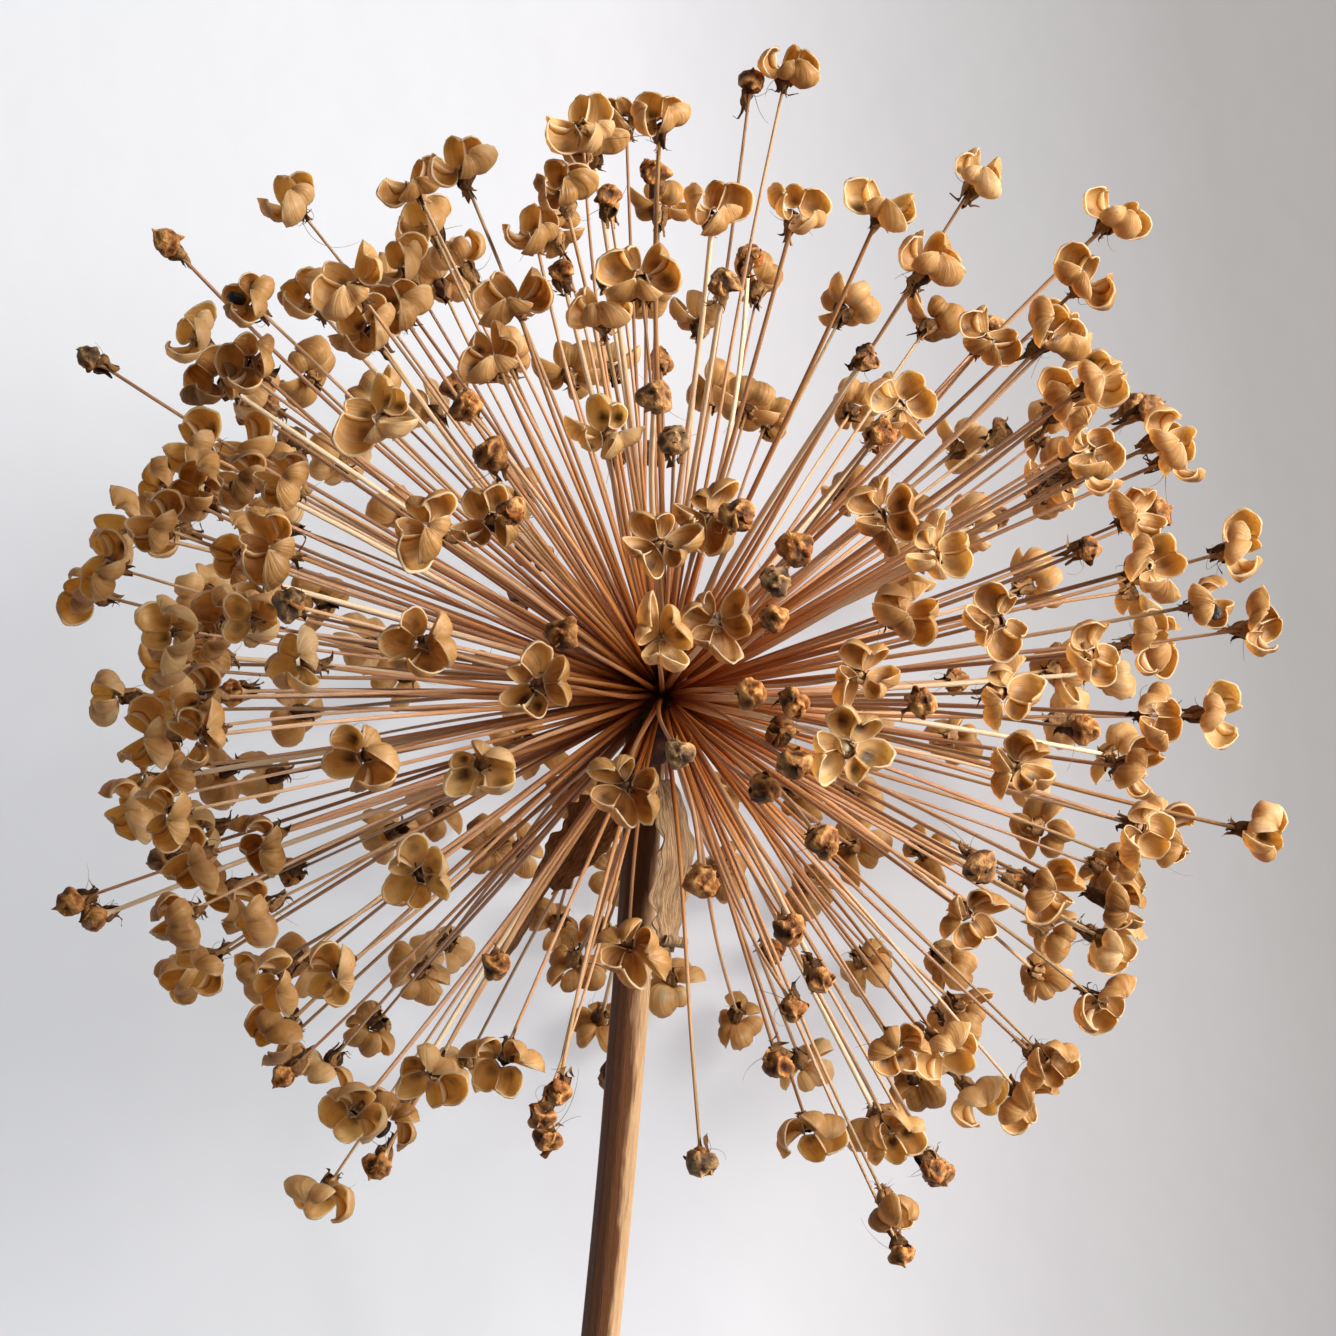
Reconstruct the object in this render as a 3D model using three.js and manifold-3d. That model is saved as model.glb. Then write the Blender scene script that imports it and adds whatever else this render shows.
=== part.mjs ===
// Dried seed head of an ornamental onion (allium), cut with a length of stem and laid on a surface.
// Millimetres, +Z up. The part rests on z = 0 and the origin is under the middle of its outline.
//
// The head is drawn upright first: x to the right, y away from the viewer, z up the stem's axis,
// with the origin in the middle of the receptacle, where all the flower stalks meet.
// LAID_DOWN then tips it onto its side, so that the viewer's side faces up.

import * as THREE from 'three';
import Module from 'manifold-3d';

const wasm = await Module();
wasm.setup();

// Driving dimensions, mm and degrees

const RECEPTACLE_HEIGHT = 49.5; // of the middle of the receptacle above the surface
const AXIS_RISE = 24; // of the umbel's axis above the surface: the stem slopes down to its cut end
const PLACE_X = -1; // of the receptacle's middle, from the middle of the part's outline
const PLACE_Y = 23.5;

const RAY_REACH = 54; // from the receptacle's middle to the middle of a floret
const REACH_SPREAD = 6; // most that a floret stands nearer or further
const STEM_CONE = 30; // degrees round the stem that hold no flower stalk
const STALK_ROOT_DEPTH = 1.6; // where a stalk starts, from the receptacle's middle
const STALK_ROOT_RADIUS = 0.33;
const STALK_TIP_RADIUS = 0.45;

const CAPSULE_RADIUS = 3.7;
const CAPSULE_HEIGHT = 4.6;
const CAPSULE_MIDDLE = 2.2; // of a capsule above the end of its stalk
const CAPSULE_SIZES = [0.9, 1.06]; // the smallest and the largest, in parts of the usual size
const BUD_RADIUS = 1.4;
const BUD_HEIGHT = 2.9;
const BUD_SIZES = [0.85, 1.15];

const STEM_TOP = 6.8; // below the receptacle's middle
const STEM_TOP_RADIUS = 1.9;
const STEM_END_RADIUS = 2.15;

const SHEET_THICKNESS = 0.7; // of the papery bracts
const CLEAR = 0.3; // between the stem's top and what stands on it
const STALK_CLEAR = 1; // between a stalk's line and a bract's edge

const VIEW_DISTANCE = 450; // from which the florets' places below were read
const VIEW_RISE = 8; // degrees towards the umbel's top

const DRAWN_FLORETS = 73; // placed by the rule, mostly on the side that the viewer doesn't see
const CAPSULE_SHARE = 0.74; // of them, the rest are withered buds
const DRAW_SEED = 7;

// Florets set by hand: [mm to the right, mm up] of the receptacle as the viewer sees them

const FRONT_CAPSULES = [
  [-0.2, 6.5], [5.8, 8], [-12.7, 1.5], [-3.7, -9], [-0.2, 16], [4.8, 19], [20.8, 2.5],
  [19.3, -5], [-18.7, -7], [-30.7, -6], [-37.2, 3.5], [-24.7, 5.5], [-25.2, -18.5],
  [-3.4, -25.5], [-17.7, 18.5], [-23.7, 17.5], [-5.7, 27.5], [-29.2, 29], [-17.2, 35],
  [-15.2, 41], [-6.2, 39.5], [-2.2, 43.5], [24.8, 30.5], [22.8, 19], [28.3, 15],
  [24.8, 8.5], [35.3, 0.5], [34.8, 8], [36.8, -7], [31.8, -22.5], [39.8, -19.5],
  [24.3, -36], [-16.5, -37.5], [-33.7, -28.5], [-41.2, 12], [-42.7, 22.5], [42.3, 31.5],
  [44.8, 4.5], [46.3, -25.5], [48.8, 18.5], [5.3, 50], [13.8, 50], [-30.4, 38],
  [32.3, -41.5], [29.3, -36.5], [-40.7, -14.5], [-47.2, 0], [33.8, 37],
];
const FRONT_BUDS = [
  [-10, 6.5], [11.6, 12], [13.8, 15], [11.5, 8], [9, 0.5], [13.3, -0.2], [10.3, -9],
  [26.3, -0.2], [-17.2, 24.5], [1.3, 26], [16.3, -14.5], [13, -23.5], [13.5, -31.5],
  [-16.9, -27], [-10.5, -40], [42.8, -3.3], [43.3, 15], [-19.7, 29.5], [20.6, 34.5],
  [4.1, -18.5],
];
const EDGE_CAPSULES = [
  [12.8, 64], [46.3, 49], [32.3, 53], [43.3, 42.5], [52.8, 24.5], [58.8, 15], [61.5, 7],
  [60.8, -14], [50.8, -2], [49.8, -13.5], [39.8, -37.5], [15.3, -45], [23.3, -52.5],
  [-34.7, -51], [-27.7, -43.5], [-39.2, -34.5], [-47.2, -27.5], [-49.2, -22.5],
  [-48.2, -16.5], [-53.7, -9], [-58.7, 10.5], [-55.2, 17], [-50.7, 3], [-47.2, 21.5],
  [-48, 37], [-42.2, 40.5], [-37.7, 50.5], [-25.7, 53], [-20.7, 54.3], [-13.2, 48],
  [-10.2, 52], [-3.7, 59.5], [22.8, 50.5], [55.8, 9.5], [-23.7, -39],
];
const EDGE_BUDS = [
  [24.3, -56.5], [4, -47], [-11.7, -45], [-28.7, -47.5], [-38.2, -38.5], [-59.4, -20.8],
  [-57.7, 34.1], [-49.7, 45.5], [9, 62], [49.3, 29], [28.3, -48.5],
];

// Papery bracts at the stem's top: the points their midlines pass through, and their widths there

const BRACTS = [
  {
    name: 'spathe_pale',
    colour: 0x8d6949,
    across: [0.74, 0.66, 0.1],
    cup: 0.35,
    midline: [
      { at: [0.4, -1.65, -8.3], width: 2.4 },
      { at: [1.4, -2.9, -11.5], width: 4.0 },
      { at: [1.9, -4.0, -15.5], width: 4.6 },
      { at: [1.2, -4.5, -19.5], width: 4.4 },
      { at: [0.9, -4.9, -22.5], width: 3.6 },
      { at: [0.7, -5.7, -24.9], width: 2.6 },
    ],
  },
  {
    name: 'spathe_broad',
    colour: 0x6e462d,
    across: [0.5, -0.75, -0.45],
    cup: -0.22,
    midline: [
      { at: [-3.16, -2.14, -8.3], width: 2.6 },
      { at: [-4.6, -2.9, -10.6], width: 5.4 },
      { at: [-6.8, -3.6, -13.2], width: 7.0 },
      { at: [-9.2, -3.9, -16.2], width: 6.0 },
      { at: [-11.2, -3.7, -19.0], width: 3.0 },
    ],
  },
  {
    name: 'spathe_long',
    colour: 0x5a3c27,
    across: [0.62, 0.75, -0.2],
    cup: 0.3,
    midline: [
      { at: [-4.05, 1.0, -8.1], width: 2.2 },
      { at: [-6.2, 1.2, -11.2], width: 3.4 },
      { at: [-9.4, 1.0, -15.4], width: 4.0 },
      { at: [-12.4, 0.6, -20.2], width: 3.4 },
      { at: [-15.2, 0.0, -25.2], width: 2.6 },
      { at: [-17.0, -0.8, -28.6], width: 1.2 },
    ],
  },
];

const TURN = Math.PI / 180;
const STEM_LEAN_START = 0.055; // sideways run of the stem for each mm down, at its top
const STEM_LEAN_GROWTH = 0.000335; // and what each further mm adds
const STEM_OFFSET = -1.2; // of the stem's line from the receptacle's middle

const LAID_DOWN = new THREE.Matrix4().makeRotationX((AXIS_RISE - 90) * TURN);
LAID_DOWN.setPosition(PLACE_X, PLACE_Y, RECEPTACLE_HEIGHT);

// Repeatable draws: a multiplicative generator, which gives numbers from 0 to 1

const DRAW_MULTIPLIER = 48271;
const DRAW_MODULUS = 2147483647;
const DRAW_WARM_UP = 4;

function seededDraw(seed) {
  let state = seed;
  const draw = () => {
    state = (state * DRAW_MULTIPLIER) % DRAW_MODULUS;
    return state / DRAW_MODULUS;
  };
  for (let i = 0; i < DRAW_WARM_UP; i += 1) {
    draw();
  }
  return draw;
}

// Where the florets stand

const viewRise = VIEW_RISE * TURN;
const TOWARDS_VIEWER = new THREE.Vector3(0, -Math.cos(viewRise), Math.sin(viewRise));
const UP_IN_VIEW = new THREE.Vector3(0, Math.sin(viewRise), Math.cos(viewRise));

function stemMiddle(down) {
  const across = STEM_OFFSET - STEM_LEAN_START * down - STEM_LEAN_GROWTH * down * down;
  return new THREE.Vector3(across, 0, -down);
}

// The point at the given reach that the viewer sees at [across, up], on the near side.
// Past the head's outline it is the nearest point of the sight line.
function pointSeenAt([across, up], reach) {
  const eye = TOWARDS_VIEWER.clone().multiplyScalar(VIEW_DISTANCE);
  const target = UP_IN_VIEW.clone().multiplyScalar(up).setX(across);
  const sight = target.sub(eye);
  const along = -eye.dot(sight) / sight.lengthSq();
  const closest = eye.clone().addScaledVector(sight, along);
  const spare = reach * reach - closest.lengthSq();
  if (spare <= 0) return closest;
  return closest.addScaledVector(sight.normalize(), -Math.sqrt(spare));
}

const bractPoints = BRACTS.flatMap((bract) => bract.midline);

// A stalk keeps out of the cone round the stem and clear of the bracts.
function stalkIsClear(direction) {
  const down = new THREE.Vector3().copy(stemMiddle(RAY_REACH)).normalize();
  if (direction.angleTo(down) < STEM_CONE * TURN) return false;
  return bractPoints.every(({ at, width }) => {
    const point = new THREE.Vector3(...at);
    const beside = point.addScaledVector(direction, -point.dot(direction));
    return beside.length() > width / 2 + STALK_CLEAR;
  });
}

// Room that two florets need between their middles
const CAPSULE_ROOM = 4.2;
const BUD_ROOM = 2.3;
const roomOf = (kind) => (kind === 'capsule' ? CAPSULE_ROOM : BUD_ROOM);

function gapToOthers(florets, middle, kind) {
  let gap = Infinity;
  for (const other of florets) {
    const apart = other.middle.distanceTo(middle) - roomOf(kind) - roomOf(other.kind);
    gap = Math.min(gap, apart);
  }
  return gap;
}

const REACH_STEPS = [0, 1.5, -1.5, 3, -3, 4.5, -4.5, 6, 7.5];

function handSetFloret(florets, seen, kind, draw) {
  const reach = RAY_REACH + (draw() - 0.5) * REACH_SPREAD;
  let best = null;
  for (const step of REACH_STEPS) {
    const middle = pointSeenAt(seen, reach + step);
    const gap = gapToOthers(florets, middle, kind);
    if (!best || gap > best.gap) best = { middle, gap, kind };
    if (gap > 0) break;
  }
  return best;
}

// The rule for the rest: of several random places the one with the most room around it,
// on the side away from the viewer.
const CANDIDATES = 14;
const HIDDEN_FROM = 84; // degrees from the sight line where the drawn florets start

function drawnFloret(florets, draw) {
  const kind = draw() < CAPSULE_SHARE ? 'capsule' : 'bud';
  let best = null;
  let tried = 0;
  while (tried < CANDIDATES) {
    const height = 2 * draw() - 1;
    const around = 2 * Math.PI * draw();
    const reach = RAY_REACH + (draw() + draw() - 1) * REACH_SPREAD;
    const level = Math.sqrt(1 - height * height);
    const direction = new THREE.Vector3(
      level * Math.cos(around),
      level * Math.sin(around),
      height,
    );
    if (direction.angleTo(TOWARDS_VIEWER) < HIDDEN_FROM * TURN) continue;
    if (!stalkIsClear(direction)) continue;
    const middle = direction.multiplyScalar(reach);
    const gap = gapToOthers(florets, middle, kind);
    if (!best || gap > best.gap) best = { middle, gap, kind };
    tried += 1;
  }
  return best;
}

const HAND_SET = [
  ['capsule', FRONT_CAPSULES],
  ['bud', FRONT_BUDS],
  ['capsule', EDGE_CAPSULES],
  ['bud', EDGE_BUDS],
];

function placeFlorets() {
  const draw = seededDraw(DRAW_SEED);
  const florets = [];
  for (const [kind, places] of HAND_SET) {
    for (const seen of places) {
      florets.push(handSetFloret(florets, seen, kind, draw));
    }
  }
  for (let i = 0; i < DRAWN_FLORETS; i += 1) {
    florets.push(drawnFloret(florets, draw));
  }
  return florets;
}

// Meshes

function geometryOf(points, triangles) {
  const positions = points.flatMap((point) => point.toArray());
  const geometry = new THREE.BufferGeometry();
  geometry.setAttribute('position', new THREE.Float32BufferAttribute(positions, 3));
  geometry.setIndex(triangles.flat());
  return geometry;
}

function solidOf(geometry) {
  const mesh = new wasm.Mesh({
    numProp: 3,
    vertProperties: geometry.attributes.position.array,
    triVerts: new Uint32Array(geometry.index.array),
  });
  return new wasm.Manifold(mesh);
}

function geometryOfSolid(solid) {
  const mesh = solid.getMesh();
  const geometry = new THREE.BufferGeometry();
  geometry.setAttribute('position', new THREE.Float32BufferAttribute(mesh.vertProperties, 3));
  geometry.setIndex(Array.from(mesh.triVerts));
  return geometry;
}

// One closed skin through rings of equally many points, capped flat at both ends.
// Each ring runs anticlockwise as seen from the last ring.
function loft(rings) {
  const count = rings[0].length;
  const points = rings.flat();
  const triangles = [];
  for (let ring = 0; ring + 1 < rings.length; ring += 1) {
    for (let side = 0; side < count; side += 1) {
      const next = (side + 1) % count;
      const low = ring * count;
      const high = low + count;
      triangles.push([low + side, low + next, high + next]);
      triangles.push([low + side, high + next, high + side]);
    }
  }
  const last = (rings.length - 1) * count;
  for (let side = 1; side + 1 < count; side += 1) {
    triangles.push([0, side + 1, side]);
    triangles.push([last, last + side, last + side + 1]);
  }
  return geometryOf(points, triangles);
}

// A floret's own directions: its axis, and two more square to it, turned by a random spin.
const AXIS_LEAN = 16; // degrees, most that a capsule nods on its stalk

function floretFrame(floret, draw) {
  const axis = floret.middle.clone().normalize();
  const side = new THREE.Vector3(0, 0, 1).cross(axis);
  side.normalize();
  side.applyAxisAngle(axis, 2 * Math.PI * draw());
  axis.applyAxisAngle(side, (draw() - 0.5) * AXIS_LEAN * TURN);
  const other = axis.clone().cross(side);
  return { axis, side, other };
}

function floretPoint(base, frame, radius, azimuth, height) {
  return base
    .clone()
    .addScaledVector(frame.axis, height)
    .addScaledVector(frame.side, radius * Math.cos(azimuth * TURN))
    .addScaledVector(frame.other, radius * Math.sin(azimuth * TURN));
}

// The stalk: three sides, from inside the receptacle to the base ring of its floret.
const RING_AZIMUTHS = [-60, 60, 180];

function stalkRings(base, frame) {
  const root = base.clone().normalize().multiplyScalar(STALK_ROOT_DEPTH);
  const ringAt = (centre, radius) =>
    RING_AZIMUTHS.map((azimuth) => floretPoint(centre, frame, radius, azimuth, 0));
  return [ringAt(root, STALK_ROOT_RADIUS), ringAt(base, STALK_TIP_RADIUS)];
}

const STALK_TRIANGLES = [
  [0, 2, 1],
  [0, 1, 4], [0, 4, 3],
  [1, 2, 5], [1, 5, 4],
  [2, 0, 3], [2, 3, 5],
];

// A ripe capsule: three valves round a hollow middle. Each valve is two rounded half pods
// that meet in a groove, and a notch splits it from the next valve down to a part of its height.
const HALF_POD = 33; // degrees from a valve's groove to the middle of its half pod
const HALF_VALVE = 60; // degrees from a valve's groove to the notch beside it

// Its points as [distance from the axis, height], in parts of its radius and height
const CAPSULE_SHAPE = {
  middle: { shut: [0, 0.52], wide: [0, 0.4] },
  notch: { shut: [0.72, 0.86], wide: [0.52, 0.5] },
  waist: { shut: [0.93, 0.4], wide: [0.93, 0.4] },
  rim: { shut: [0.84, 1], wide: [1.06, 0.88] },
  grooveRim: { shut: [0.5, 1.04], wide: [0.64, 0.88] },
  inside: { shut: [0.5, 0.44], wide: [0.56, 0.44] },
};

function capsuleGeometry(floret, base, frame, draw) {
  const size = THREE.MathUtils.lerp(...CAPSULE_SIZES, draw());
  const open = draw();
  const point = (name, azimuth) => {
    const { shut, wide } = CAPSULE_SHAPE[name];
    const [out, up] = shut.map((value, i) => THREE.MathUtils.lerp(value, wide[i], open) * size);
    return floretPoint(base, frame, CAPSULE_RADIUS * out, azimuth, CAPSULE_HEIGHT * up);
  };
  const points = stalkRings(base, frame).flat();
  points.push(point('middle', 0));
  const middle = points.length - 1;
  const notches = RING_AZIMUTHS.map((azimuth) => {
    points.push(point('notch', azimuth));
    return points.length - 1;
  });
  const triangles = [...STALK_TRIANGLES];
  for (let valve = 0; valve < 3; valve += 1) {
    const next = (valve + 1) % 3;
    const groove = RING_AZIMUTHS[valve] + HALF_VALVE;
    const left = groove - HALF_POD;
    const right = groove + HALF_POD;
    const first = points.length;
    points.push(
      point('waist', left),
      point('waist', right),
      point('rim', left),
      point('rim', right),
      point('grooveRim', groove),
      point('inside', left),
      point('inside', right),
    );
    const [outLeft, outRight, rimLeft, rimRight, rimGroove, inLeft, inRight] =
      Array.from({ length: 7 }, (_, i) => first + i);
    const [baseLeft, baseRight] = [3 + valve, 3 + next];
    const [notchLeft, notchRight] = [notches[valve], notches[next]];
    triangles.push(
      [baseLeft, baseRight, outRight], [baseLeft, outRight, outLeft],
      [baseLeft, outLeft, notchLeft], [notchLeft, outLeft, rimLeft],
      [outLeft, outRight, rimGroove], [outLeft, rimGroove, rimLeft],
      [outRight, rimRight, rimGroove], [outRight, notchRight, rimRight],
      [baseRight, notchRight, outRight],
      [notchLeft, rimLeft, inLeft], [rimLeft, rimGroove, inLeft],
      [rimGroove, rimRight, inRight], [rimRight, notchRight, inRight],
      [notchLeft, inLeft, middle], [inLeft, rimGroove, middle],
      [rimGroove, inRight, middle], [inRight, notchRight, middle],
    );
  }
  return geometryOf(points, triangles);
}

// A flower that withered without setting seed: a small three-cornered knob.
const BUD_CORNERS = [0, 120, 240];
const BUD_SHOULDERS = [60, 180, 300];
const BUD_SHAPE = { corner: [1, 0.42], shoulder: [0.72, 0.88], tip: [0.1, 1] };

function budGeometry(floret, base, frame, draw) {
  const size = THREE.MathUtils.lerp(...BUD_SIZES, draw());
  const point = (name, azimuth) => {
    const [out, up] = BUD_SHAPE[name].map((value) => value * size);
    return floretPoint(base, frame, BUD_RADIUS * out, azimuth, BUD_HEIGHT * up);
  };
  const points = stalkRings(base, frame).flat();
  points.push(...BUD_CORNERS.map((azimuth) => point('corner', azimuth)));
  points.push(...BUD_SHOULDERS.map((azimuth) => point('shoulder', azimuth)));
  points.push(point('tip', 0));
  const triangles = [...STALK_TRIANGLES];
  for (let side = 0; side < 3; side += 1) {
    const next = (side + 1) % 3;
    triangles.push(
      [3 + side, 3 + next, 6 + side], [3 + next, 6 + next, 6 + side],
      [6 + side, 6 + next, 9 + side], [6 + next, 9 + next, 9 + side],
      [9 + side, 9 + next, 12],
    );
  }
  return geometryOf(points, triangles);
}

// A floret with its stalk, drawn back towards the receptacle where it would reach below the surface.
function floretSolid(floret, index) {
  const build = floret.kind === 'capsule' ? capsuleGeometry : budGeometry;
  const rise = floret.kind === 'capsule' ? CAPSULE_MIDDLE : BUD_HEIGHT / 2;
  const shapeAt = (reach) => {
    const draw = seededDraw(DRAW_SEED + 1 + index);
    const frame = floretFrame(floret, draw);
    const base = floret.middle.clone().setLength(reach - rise);
    return build(floret, base, frame, draw);
  };
  const lowestOf = (geometry) => {
    const laid = geometry.clone().applyMatrix4(LAID_DOWN);
    laid.computeBoundingBox();
    return laid.boundingBox.min.z;
  };
  const reach = floret.middle.length();
  let geometry = shapeAt(reach);
  const lowest = lowestOf(geometry);
  if (lowest < 0) {
    const directionLaid = floret.middle.clone().normalize().transformDirection(LAID_DOWN);
    geometry = shapeAt(reach - lowest / directionLaid.z);
  }
  return solidOf(geometry);
}

// The receptacle: the stem's swollen top, which every stalk grows from.
// Each entry is a radius and its height.
const RECEPTACLE_PROFILE = [
  [1.95, CLEAR - STEM_TOP], [2.5, -4.6], [3.6, -2.2], [3.9, 0.2], [3.1, 2.4], [1.6, 3.5],
];
const RECEPTACLE_SIDES = 12;

function receptacleSolid() {
  const top = stemMiddle(STEM_TOP);
  const rings = RECEPTACLE_PROFILE.map(([radius, height]) => {
    const shift = Math.max(0, -height / STEM_TOP);
    const ring = [];
    for (let side = 0; side < RECEPTACLE_SIDES; side += 1) {
      const around = (2 * Math.PI * side) / RECEPTACLE_SIDES;
      const x = top.x * shift + radius * Math.cos(around);
      ring.push(new THREE.Vector3(x, radius * Math.sin(around), height));
    }
    return ring;
  });
  return solidOf(loft(rings));
}

function umbelGeometry() {
  const pieces = placeFlorets().map(floretSolid);
  return geometryOfSolid(wasm.Manifold.union([receptacleSolid(), ...pieces]));
}

// The stem: slightly bowed, with shallow ridges, cut square where it meets the surface.
const STEM_RINGS = 9;
const STEM_SIDES = 12;
const STEM_RIDGE = 0.07;

function stemLength() {
  const rise = Math.sin(AXIS_RISE * TURN);
  const edge = STEM_END_RADIUS * Math.cos(AXIS_RISE * TURN);
  return (RECEPTACLE_HEIGHT - edge) / rise;
}

function stemGeometry() {
  const end = stemLength();
  const rings = [];
  for (let i = 0; i < STEM_RINGS; i += 1) {
    const part = i / (STEM_RINGS - 1);
    const down = STEM_TOP + (end - STEM_TOP) * part;
    const radius = STEM_TOP_RADIUS + (STEM_END_RADIUS - STEM_TOP_RADIUS) * part;
    const ring = [];
    for (let side = 0; side < STEM_SIDES; side += 1) {
      const around = (-2 * Math.PI * side) / STEM_SIDES;
      const ridged = radius - (side % 2 === 0 ? STEM_RIDGE : 0);
      const out = new THREE.Vector3(Math.cos(around), Math.sin(around), 0);
      ring.push(stemMiddle(down).addScaledVector(out, ridged));
    }
    rings.push(ring);
  }
  return loft(rings);
}

// A bract: a thin sheet along its midline, cupped across, with a ragged edge.
const BRACT_STEPS = 9;
const BRACT_RAGGED = [0, 0.12, -0.08, 0.16, -0.14, 0.1, -0.16, 0.14, 0];
const BRACT_COLUMNS = [-1, -0.4, 0.4, 1];

function bractGeometry({ across, cup, midline }) {
  const path = new THREE.CatmullRomCurve3(midline.map(({ at }) => new THREE.Vector3(...at)));
  const widthAt = (part) => {
    const place = part * (midline.length - 1);
    const low = Math.min(Math.floor(place), midline.length - 2);
    return THREE.MathUtils.lerp(midline[low].width, midline[low + 1].width, place - low);
  };
  const rings = [];
  for (let step = 0; step < BRACT_STEPS; step += 1) {
    const part = step / (BRACT_STEPS - 1);
    const centre = path.getPoint(part);
    const along = path.getTangent(part);
    const side = new THREE.Vector3(...across);
    side.addScaledVector(along, -side.dot(along)).normalize();
    const face = side.clone().cross(along).normalize();
    const half = (widthAt(part) / 2) * (1 + BRACT_RAGGED[step]);
    const pointAt = (column, lift) =>
      centre
        .clone()
        .addScaledVector(side, half * column)
        .addScaledVector(face, half * cup * column * column + lift);
    const back = BRACT_COLUMNS.map((column) => pointAt(column, -SHEET_THICKNESS / 2));
    const front = BRACT_COLUMNS.map((column) => pointAt(column, SHEET_THICKNESS / 2));
    rings.push([...front, ...back.reverse()]);
  }
  return loft(rings);
}

// Materials and the scene graph

function material(name, colour, roughness) {
  return new THREE.MeshStandardMaterial({ name, color: colour, roughness, metalness: 0 });
}

function laidMesh(name, geometry, finish) {
  geometry.computeVertexNormals();
  const mesh = new THREE.Mesh(geometry, finish);
  mesh.name = name;
  return mesh;
}

const head = new THREE.Group();
head.applyMatrix4(LAID_DOWN);
head.add(laidMesh('umbel', umbelGeometry(), material('dry_capsule', 0xb88652, 0.6)));
head.add(laidMesh('stem', stemGeometry(), material('dry_stem', 0x9b7552, 0.7)));
for (const bract of BRACTS) {
  const finish = material(bract.name, bract.colour, 0.8);
  head.add(laidMesh(bract.name, bractGeometry(bract), finish));
}

const seedHead = new THREE.Group();
seedHead.add(head);

export default seedHead;
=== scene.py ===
import math

import bpy
import numpy as np
from mathutils import Matrix, Vector
from numpy.random import default_rng


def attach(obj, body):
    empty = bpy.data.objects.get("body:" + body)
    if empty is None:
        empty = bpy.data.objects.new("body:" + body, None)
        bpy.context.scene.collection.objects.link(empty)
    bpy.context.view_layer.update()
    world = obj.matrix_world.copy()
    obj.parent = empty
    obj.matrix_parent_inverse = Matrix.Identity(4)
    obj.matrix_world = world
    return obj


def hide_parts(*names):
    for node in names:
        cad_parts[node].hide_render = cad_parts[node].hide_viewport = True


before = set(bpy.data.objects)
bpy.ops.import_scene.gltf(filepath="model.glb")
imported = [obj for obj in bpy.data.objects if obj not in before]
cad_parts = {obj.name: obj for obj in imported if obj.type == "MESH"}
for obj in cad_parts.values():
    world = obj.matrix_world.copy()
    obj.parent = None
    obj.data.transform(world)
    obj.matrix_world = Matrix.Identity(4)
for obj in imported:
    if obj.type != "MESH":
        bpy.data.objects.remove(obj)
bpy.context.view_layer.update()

# ------------------------------
# The camera looks down on the laid head, square to the side that the photograph shows.
# The head's own axes are x to the right, y away from the viewer and z up the umbel's axis, with
# the receptacle's middle as the origin, in millimetres; laid_down puts them on the surface.
RECEPTACLE_PLACE = np.array([-1.0, 23.5, 49.5])
AXIS_RISE = math.radians(24)
VIEW_DISTANCE = 450
VIEW_RISE = math.radians(8)
FRAME_WIDTH = 133.6
RECEPTACLE_OFF_CENTRE = (-0.6, -2.7)
SENSOR = 36
MM = 0.001

to_right = np.array([1.0, 0.0, 0.0])
to_back = np.array([0.0, math.sin(AXIS_RISE), -math.cos(AXIS_RISE)])
up_the_axis = np.array([0.0, math.cos(AXIS_RISE), math.sin(AXIS_RISE)])
HEAD_TURN = np.stack([to_right, to_back, up_the_axis])
towards_viewer = np.array([0.0, -math.cos(VIEW_RISE), math.sin(VIEW_RISE)])
up_in_view = np.array([0.0, math.sin(VIEW_RISE), math.cos(VIEW_RISE)])


def laid_down(points):
    """Points of the upright head, in millimetres, to the laid head's place in metres."""
    return (np.asarray(points) @ HEAD_TURN + RECEPTACLE_PLACE) * MM


def placed(name, data):
    """A new object in the scene."""
    thing = bpy.data.objects.new(name, data)
    bpy.context.scene.collection.objects.link(thing)
    return thing


across_off, up_off = RECEPTACLE_OFF_CENTRE
eye = towards_viewer * VIEW_DISTANCE - to_right * across_off - up_in_view * up_off
camera = placed("camera", bpy.data.cameras.new("camera"))
camera.data.sensor_width = SENSOR
camera.data.lens = SENSOR * VIEW_DISTANCE / FRAME_WIDTH
camera.data.clip_start = 0.01
turned = [to_right @ HEAD_TURN, up_in_view @ HEAD_TURN, towards_viewer @ HEAD_TURN, laid_down(eye)]
camera.matrix_world = Matrix([[*(way[row] for way in turned)] for row in range(3)] + [[0, 0, 0, 1]])
bpy.context.scene.camera = camera
bpy.context.scene.view_settings.view_transform = "Standard"

# ------------------------------
# The stem: one dry, woody flower stalk with fine lengthwise ribs, tan where the light has
# bleached it and brown along its left side, partly its own colour and partly painted shade on the
# side away from the lamps, with dark streaks where the skin has split.
# It is bowed a little to the left and cut square across at the end that rests on the surface.
STEM_TOP = 5.6
STEM_TOP_RADIUS = 1.9
STEM_END_RADIUS = 2.15
STEM_OFFSET = -1.2
STEM_LEAN_START = 0.055
STEM_LEAN_GROWTH = 0.000335
STEM_SIDES = 96
STEM_RINGS = 150
STEM_RIBS = 11
STEM_RIB = 0.028
STEM_LUMP = 0.0225
BROWN_AND_SHADE_SIDE = math.radians(180) + 0.5
BROWN_AT_TOP = 0.3
BROWN_TOP = (6, 32)
WAVES = 5
CUT_END = ((0.93, -0.05), (0.84, 0.18), (0.6, 0.42), (0.25, 0.5), (0.02, 0.52))


def joined(*parts):
    """Numbers side by side as points, each part stretched to the others' shape."""
    return np.stack(np.broadcast_arrays(*parts), -1)


def unit(ways):
    """The same directions, of length one."""
    return ways / np.linalg.norm(ways, axis=-1, keepdims=True)


def turns(count):
    """So many angles round a full turn."""
    return np.linspace(0, 2 * math.pi, count, endpoint=False)


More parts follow.
